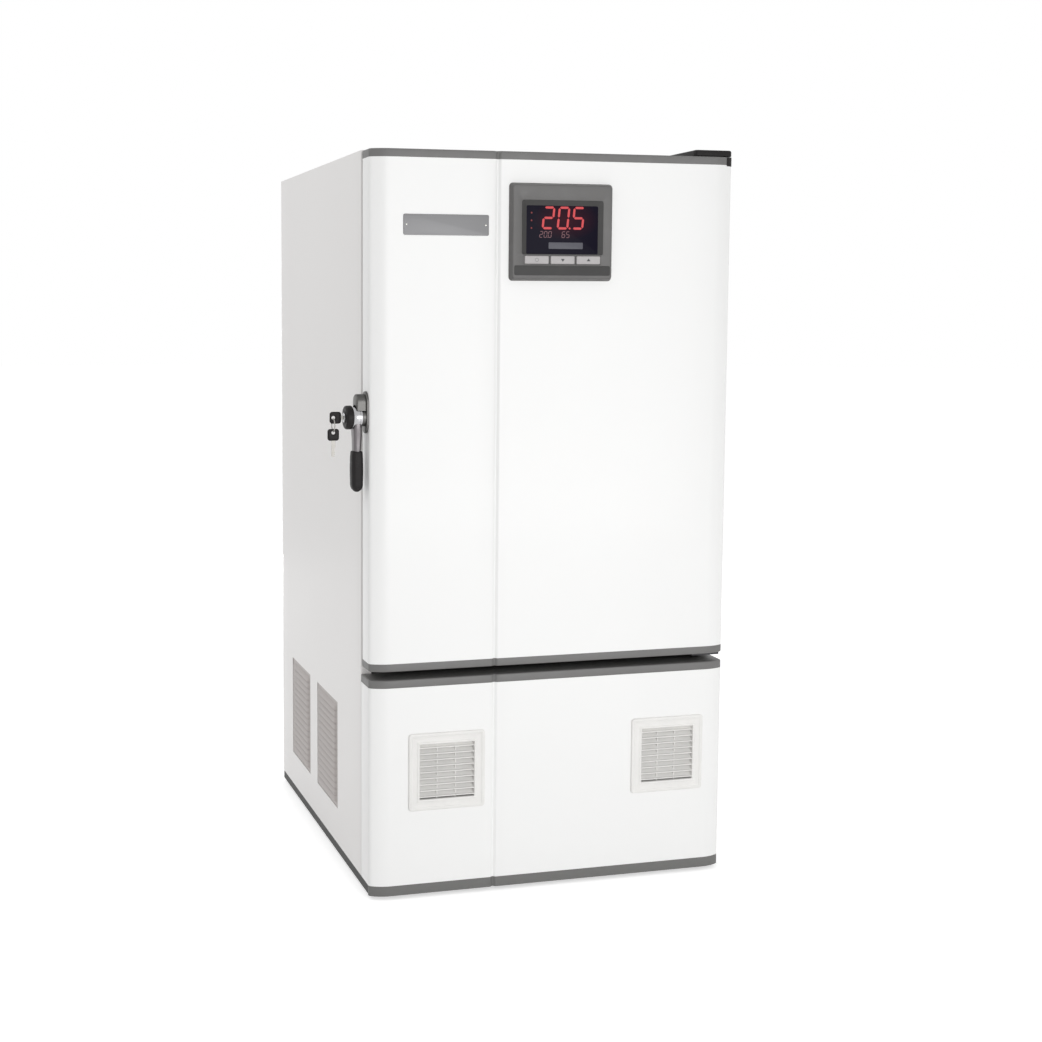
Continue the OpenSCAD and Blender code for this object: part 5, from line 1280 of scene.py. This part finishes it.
def make_shelves():
    """Wire shelves: a rod bent round the edge, wires from front to back and two cross rods."""
    rod, cross, wire, pitch = 3.9, 2.2, 1.5, 22
    for which in ("lower", "middle", "upper"):
        low, high = corners("shelf_" + which)
        shelf, top = Surface(), high[2]
        x, y0, y1 = high[0] - rod, low[1] + rod, high[1] - rod
        edge = rounded(2 * x, y1 - y0, 9, 5) + (0, (y0 + y1) / 2)
        tube(shelf, stand(edge, top - rod, 2), rod, 10, True)
        for part in (1 / 3, 2 / 3):
            y = y0 + (y1 - y0) * part
            tube(shelf, [(-x, y, top - 5.2), (x, y, top - 5.2)], cross, 8)
        wires = int((2 * high[0] - 40) / pitch)
        ends, run = top - 2.4, top - 1.55
        for k in range(1, wires + 1):
            at = -high[0] + k * 2 * high[0] / (wires + 1)
            tube(shelf, [(at, y0, ends), (at, y0 + 4, run), (at, y1 - 4, run), (at, y1, ends)],
                 wire, 8)
        shelf.piece("wire_shelf_" + which, which + "_shelf", "stainless", polished_steel(),
                    ("shelf_" + which,))


def make_glass_door():
    """Fittings of the glass door: rounded pivot shoes and a turned knob with a grooved rim."""
    low, high = corners("glass_fittings")
    pane_low, pane_high = corners("glass_door")
    fittings = Surface()
    axis_y, shoe, shoe_half, shoe_wide = (pane_low[1] + pane_high[1]) / 2, 28, 5.5, 33.7
    for z0, z1 in ((low[2], low[2] + shoe), (high[2] - shoe, high[2])):
        bar(fittings, (high[0] - shoe_wide, axis_y - shoe_half, z0),
            (high[0], axis_y + shoe_half, z1), 1.2, 1.6)
    knob = [(0, 0.6), (6.5, 0.2), (9, 0), (10.4, 0.6), (11, 2), (11, 4), (10.3, 4.6), (10.3, 5.6),
            (11, 6.2), (11, 9), (10.2, 10.4), (7, 11.4), (5.6, 13), (5.6, 17), (7.4, 19.4),
            (7.6, 20.2), (4, 20.2), (4, 25), (9, 25.1), (9, 28), (7.6, 29), (0, 29.2)]
    turned(fittings, [(r, low[1] + y) for r, y in knob],
           (pane_low[0] + 30, 0, (pane_low[2] + pane_high[2]) / 2), 1, 40)
    fittings.piece("glass_hardware", "inner_door", "stainless", polished_steel(),
                   ("glass_fittings",))


def make_fan(name, node, body, hub):
    """A moulded fan. A blade is a surface of radius and chord: its pitch falls from root to tip,
    its section is a shallow arc and its corners are rounded by narrowing the chord."""
    blades, half_thick = 5, 0.7
    low, high = corners(node)
    centre, radius = (low + high) / 2, (high[0] - low[0]) / 2 - 0.6
    depth = (high[1] - low[1]) / 2
    r = np.linspace(hub - 1, radius, 12)[:, None]
    s = np.linspace(-1, 1, 9)[None, :]
    part = (r - hub) / (radius - hub)
    chord = (0.55 + 0.25 * part) * np.sqrt(np.clip(1 - (part - 0.35) ** 4 * 2.2, 0.15, 1))
    angle = s * chord * (pi / blades) * 0.86 + 0.12 * part
    lift = depth * (0.82 - 0.3 * part) * s + 1.6 * (1 - s ** 2)

    def face(k, side):
        a = angle + k * 2 * pi / blades
        return centre + np.stack([r * np.cos(a), lift + side + 0 * a, r * np.sin(a)], -1)

    rotor = Surface()
    for side in (-half_thick, half_thick):
        for k in range(blades):
            rotor.grid(face(k, side))
    for k in range(blades):
        pair = face(k, -half_thick), face(k, half_thick)
        for edge in (np.s_[:, 0], np.s_[:, -1], np.s_[0, :], np.s_[-1, :]):
            rotor.grid(np.stack([pair[0][edge], pair[1][edge]]))
    front, back = centre[1] - depth, centre[1] + depth
    turned(rotor, [(0, front + 0.6), (hub * 0.6, front + 0.6), (hub * 0.9, front + 2),
                   (hub, front + 5), (hub, back - 1), (hub * 0.7, back - 0.6), (0, back - 0.6)],
           (centre[0], 0, centre[2]), 1, 40)
    rotor.piece(name, body, "fan_plastic", moulding("fan_plastic", (0.66, 0.66, 0.655), 0.42),
                (node,))


def make_fans():
    """The chamber's fan and the condenser's fan."""
    make_fan("air_rotor", "air_fan_blade", "air_fan", 16)
    make_fan("condenser_rotor", "condenser_fan_blade", "condenser_fan", 24)


def finish_frame(finishes):
    """Gives every CAD node that still shows its finish."""
    white = roof_enamel(finishes)
    steel = brushed("upright_steel", (0.60, 0.60, 0.59), 2, 0.32)
    foam = foamed("rigid_foam", (0.78, 0.66, 0.36))
    dark_zinc = plated("dark_zinc", (0.05, 0.05, 0.052), 0.4)
    motor = enamel("motor_enamel", (0.05, 0.05, 0.055), 0.45, 0.2)
    wear = {
        "back_panel": white,
        "rear_cover": white,
        "insulation": foam,
        "door_foam": foam,
        # Near-black painted shade for the gap under the door
        "mid_rail": enamel("rail_enamel", finishes.rail, 0.6, 0.0, 0.15),
        "shelf_uprights": steel,
        "shelf_clips": steel,
        "air_duct": brushed("duct_steel", (0.60, 0.60, 0.59), 0, 0.32),
        "inner_hinges": zinc(),
        "evaporator": finned("evaporator_fins", (0.75, 0.76, 0.77)),
        "air_fan_motor": motor,
        "heater": brushed("heater_sheath", (0.22, 0.215, 0.21), 0, 0.4),
        "compressor": enamel("can_enamel", (0.012, 0.012, 0.013), 0.2, 0.6),
        "condenser": finned("condenser_fins", (0.62, 0.63, 0.64)),
        "condenser_fan_motor": motor,
        "refrigerant_lines": plated("copper", (0.75, 0.37, 0.2), 0.25),
        "drain_pan": moulding("tray_plastic", (0.55, 0.55, 0.54)),
        "control_box": enamel("box_enamel", (0.5, 0.5, 0.49)),
        "power_inlet": moulding("inlet_plastic", (0.02, 0.02, 0.02)),
        "top_hinge": dark_zinc,
        "bottom_hinge": dark_zinc,
        "latch_keeper": zinc(),
        "hinge_bushes": moulding("nylon", (0.82, 0.79, 0.7)),
        "controller_board": circuit("circuit_board", (0.02, 0.16, 0.07)),
        "glass_door": clear_glass("clear_glass"),
    }
    for node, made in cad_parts.items():
        if node in wear:
            made.data.materials.clear()
            made.data.materials.append(wear[node])
        elif not made.hide_render:
            raise RuntimeError("no finish for " + node)


# Place, size, power and aim of each lamp, in metres and watts
LAMPS = {
    "front_lamp": ((1.0, -5.2, 0.95), 3.2, 103, (0, 0, 0.35)),
    "low_lamp": ((0.2, -1.4, 0.2), 0.9, 1.45, (0, 0, 0.18)),
    "left_lamp": ((-2.6, -0.1, 3.0), 1.8, 18.5, (0, 0, 1.1)),
    "rear_lamp": ((0.6, 3.8, 0.65), 1.4, 40, (0, 0, 0.6)),
}
ROOM_LIGHT, FLOOR_GLOW = 0.57, 0.56
CAMERA_PLACE, CAMERA_SHIFT = (-1097.3, -2775.7, 1102.5), (0.1536, -0.06)
CAMERA_DROP, CAMERA_TURN = 5.294, -14.524


def light(name, place, size, power, aim):
    """A square area lamp that looks at a point."""
    lamp = bpy.data.lights.new(name, "AREA")
    lamp.size, lamp.energy = size, power
    made = bpy.data.objects.new(name, lamp)
    bpy.context.scene.collection.objects.link(made)
    made.location = place
    made.rotation_euler = (Vector(aim) - Vector(place)).to_track_quat("-Z", "Y").to_euler()


def make_room(scene):
    """White surroundings: full white where they are seen, dimmer as light on the object."""
    scene.world = bpy.data.worlds.new("studio")
    room = Tree(scene.world, "ShaderNodeOutputWorld")
    lit, seen = (room.node("ShaderNodeBackground", {}, {"Color": (1, 1, 1, 1), "Strength": level})
                 for level in (ROOM_LIGHT, 1.0))
    room.finish(room.by_ray(("Is Camera Ray", "Is Glossy Ray", "Is Transmission Ray"), lit, seen))


def make_floor(scene):
    """Pale floor: a disc of mottled paper that keeps the shadow and glows where it is seen."""
    rim, radius = 64, 30
    angle = np.linspace(0, 2 * pi, rim, endpoint=False)
    points = np.stack([radius * np.cos(angle), radius * np.sin(angle), np.full(rim, -0.0005)], 1)
    mesh = bpy.data.meshes.new("floor")
    mesh.from_pydata(points.tolist(), [], [list(range(rim))])
    floor = bpy.data.objects.new("floor", mesh)
    scene.collection.objects.link(floor)
    paint = Paint("floor_paper", Roughness=0.9, Specular_IOR_Level=0.0)
    paint.feed("Base Color", paint.blend(paint.noise(3, 2.0), (0.8, 0.8, 0.8), (0.82, 0.82, 0.82)))
    glow = paint.node("ShaderNodeEmission", {}, {"Strength": FLOOR_GLOW})
    both = paint.node("ShaderNodeAddShader", {}, {0: paint.shader, 1: glow})
    paint.finish(paint.by_ray(("Is Camera Ray", "Is Glossy Ray"), paint.shader, both))
    floor.data.materials.append(paint.material)


def make_stage(sizes):
    """Pale floor, white surroundings, soft lamps and the camera at the photograph's angle."""
    scene = bpy.context.scene
    scene.view_settings.view_transform = "Standard"
    make_room(scene)
    make_floor(scene)
    for name, values in LAMPS.items():
        light(name, *values)
    lens = bpy.data.cameras.new("camera")
    lens.lens, lens.sensor_width = sizes.camera_lens, 36
    lens.shift_x, lens.shift_y = CAMERA_SHIFT
    lens.clip_start, lens.clip_end = 0.05, 100
    camera = bpy.data.objects.new("camera", lens)
    scene.collection.objects.link(camera)
    camera.location = (np.array(CAMERA_PLACE) + MIDDLE) / 1000
    camera.rotation_euler = Euler((radians(90 - CAMERA_DROP), 0, radians(CAMERA_TURN)))
    scene.camera = camera


class INCUBATOR_OT_casing(bpy.types.Operator):
    """Side, top and base of the casing, and the feet"""

    bl_idname = "incubator.casing"
    bl_label = "Casing"
    bl_options = {"REGISTER", "UNDO"}

    def execute(self, context):
        make_casing(context.scene.incubator_sizes, context.scene.incubator_finishes)
        return {"FINISHED"}


class INCUBATOR_OT_fasteners(bpy.types.Operator):
    """Pan-head screws of the rear, the lower panel and the top hinge"""

    bl_idname = "incubator.fasteners"
    bl_label = "Fasteners"
    bl_options = {"REGISTER", "UNDO"}

    def execute(self, context):
        make_fasteners()
        return {"FINISHED"}


class INCUBATOR_OT_lower_front(bpy.types.Operator):
    """Lower front panel with its cap and the two vents"""

    bl_idname = "incubator.lower_front"
    bl_label = "Lower front and vents"
    bl_options = {"REGISTER", "UNDO"}

    def execute(self, context):
        make_lower_front(context.scene.incubator_sizes, context.scene.incubator_finishes)
        return {"FINISHED"}


class INCUBATOR_OT_side_louvres(bpy.types.Operator):
    """Louvre plates of both sides"""

    bl_idname = "incubator.side_louvres"
    bl_label = "Side louvres"
    bl_options = {"REGISTER", "UNDO"}

    def execute(self, context):
        make_side_louvres(context.scene.incubator_finishes)
        return {"FINISHED"}


class INCUBATOR_OT_door(bpy.types.Operator):
    """Outer door with its caps, liner and gasket"""

    bl_idname = "incubator.door"
    bl_label = "Outer door"
    bl_options = {"REGISTER", "UNDO"}

    def execute(self, context):
        make_door(context.scene.incubator_sizes, context.scene.incubator_finishes)
        return {"FINISHED"}


class INCUBATOR_OT_hinges(bpy.types.Operator):
    """Cover of the top hinge, and a black block of painted shade on the right end of the door's top
    cap
    """

    bl_idname = "incubator.hinges"
    bl_label = "Hinge cover"
    bl_options = {"REGISTER", "UNDO"}

    def execute(self, context):
        make_hinges(context.scene.incubator_sizes, context.scene.incubator_finishes)
        return {"FINISHED"}


class INCUBATOR_OT_controller(bpy.types.Operator):
    """Bezel, window, digits and the three keys"""

    bl_idname = "incubator.controller"
    bl_label = "Controller"
    bl_options = {"REGISTER", "UNDO"}

    def execute(self, context):
        make_controller(context.scene.incubator_sizes, context.scene.incubator_finishes)
        return {"FINISHED"}


class INCUBATOR_OT_latch(bpy.types.Operator):
    """Lever latch, lock and its two keys"""

    bl_idname = "incubator.latch"
    bl_label = "Lever latch and keys"
    bl_options = {"REGISTER", "UNDO"}

    def execute(self, context):
        make_latch(context.scene.incubator_finishes)
        return {"FINISHED"}


class INCUBATOR_OT_chamber(bpy.types.Operator):
    """Stainless chamber, its mouth and the drain's rim"""

    bl_idname = "incubator.chamber"
    bl_label = "Chamber"
    bl_options = {"REGISTER", "UNDO"}

    def execute(self, context):
        make_chamber(context.scene.incubator_sizes, context.scene.incubator_finishes)
        return {"FINISHED"}


class INCUBATOR_OT_shelves(bpy.types.Operator):
    """Three wire shelves"""

    bl_idname = "incubator.shelves"
    bl_label = "Shelves"
    bl_options = {"REGISTER", "UNDO"}

    def execute(self, context):
        make_shelves()
        return {"FINISHED"}


class INCUBATOR_OT_glass_door(bpy.types.Operator):
    """Pivot shoes and knob of the glass door"""

    bl_idname = "incubator.glass_door"
    bl_label = "Glass door fittings"
    bl_options = {"REGISTER", "UNDO"}

    def execute(self, context):
        make_glass_door()
        return {"FINISHED"}


class INCUBATOR_OT_fans(bpy.types.Operator):
    """Rotors of the chamber's fan and of the condenser's fan"""

    bl_idname = "incubator.fans"
    bl_label = "Fans"
    bl_options = {"REGISTER", "UNDO"}

    def execute(self, context):
        make_fans()
        return {"FINISHED"}


class INCUBATOR_OT_frame_finishes(bpy.types.Operator):
    """Finishes of the CAD pieces that still show"""

    bl_idname = "incubator.frame_finishes"
    bl_label = "Finishes of the frame"
    bl_options = {"REGISTER", "UNDO"}

    def execute(self, context):
        finish_frame(context.scene.incubator_finishes)
        return {"FINISHED"}


class INCUBATOR_OT_stage(bpy.types.Operator):
    """Floor, surroundings, lamps and camera"""

    bl_idname = "incubator.stage"
    bl_label = "Stage"
    bl_options = {"REGISTER", "UNDO"}

    def execute(self, context):
        make_stage(context.scene.incubator_sizes)
        return {"FINISHED"}


STEPS = [
    INCUBATOR_OT_casing, INCUBATOR_OT_fasteners, INCUBATOR_OT_lower_front,
    INCUBATOR_OT_side_louvres, INCUBATOR_OT_door, INCUBATOR_OT_hinges,
    INCUBATOR_OT_controller, INCUBATOR_OT_latch, INCUBATOR_OT_chamber,
    INCUBATOR_OT_shelves, INCUBATOR_OT_glass_door, INCUBATOR_OT_fans,
    INCUBATOR_OT_frame_finishes, INCUBATOR_OT_stage,
]


class INCUBATOR_PT_panel(bpy.types.Panel):
    """Lists the sizes, the finishes and the steps that build the incubator."""

    bl_idname = "INCUBATOR_PT_panel"
    bl_label = "Cooling incubator"
    bl_space_type = "VIEW_3D"
    bl_region_type = "UI"
    bl_category = "Incubator"

    def draw(self, context):
        for group in (context.scene.incubator_sizes, context.scene.incubator_finishes):
            column = self.layout.column(align=True)
            for key in group.__annotations__:
                column.prop(group, key)
        for step in STEPS:
            self.layout.operator(step.bl_idname)


CLASSES = [IncubatorSizes, IncubatorFinishes, *STEPS, INCUBATOR_PT_panel]


def register():
    for cls in CLASSES:
        bpy.utils.register_class(cls)
    bpy.types.Scene.incubator_sizes = PointerProperty(type=IncubatorSizes)
    bpy.types.Scene.incubator_finishes = PointerProperty(type=IncubatorFinishes)


def unregister():
    del bpy.types.Scene.incubator_sizes, bpy.types.Scene.incubator_finishes
    for cls in reversed(CLASSES):
        bpy.utils.unregister_class(cls)


def main():
    """Registers the add-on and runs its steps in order."""
    register()
    for step in STEPS:
        getattr(bpy.ops.incubator, step.bl_idname.split(".")[1])()


if __name__ == "__main__":
    main()
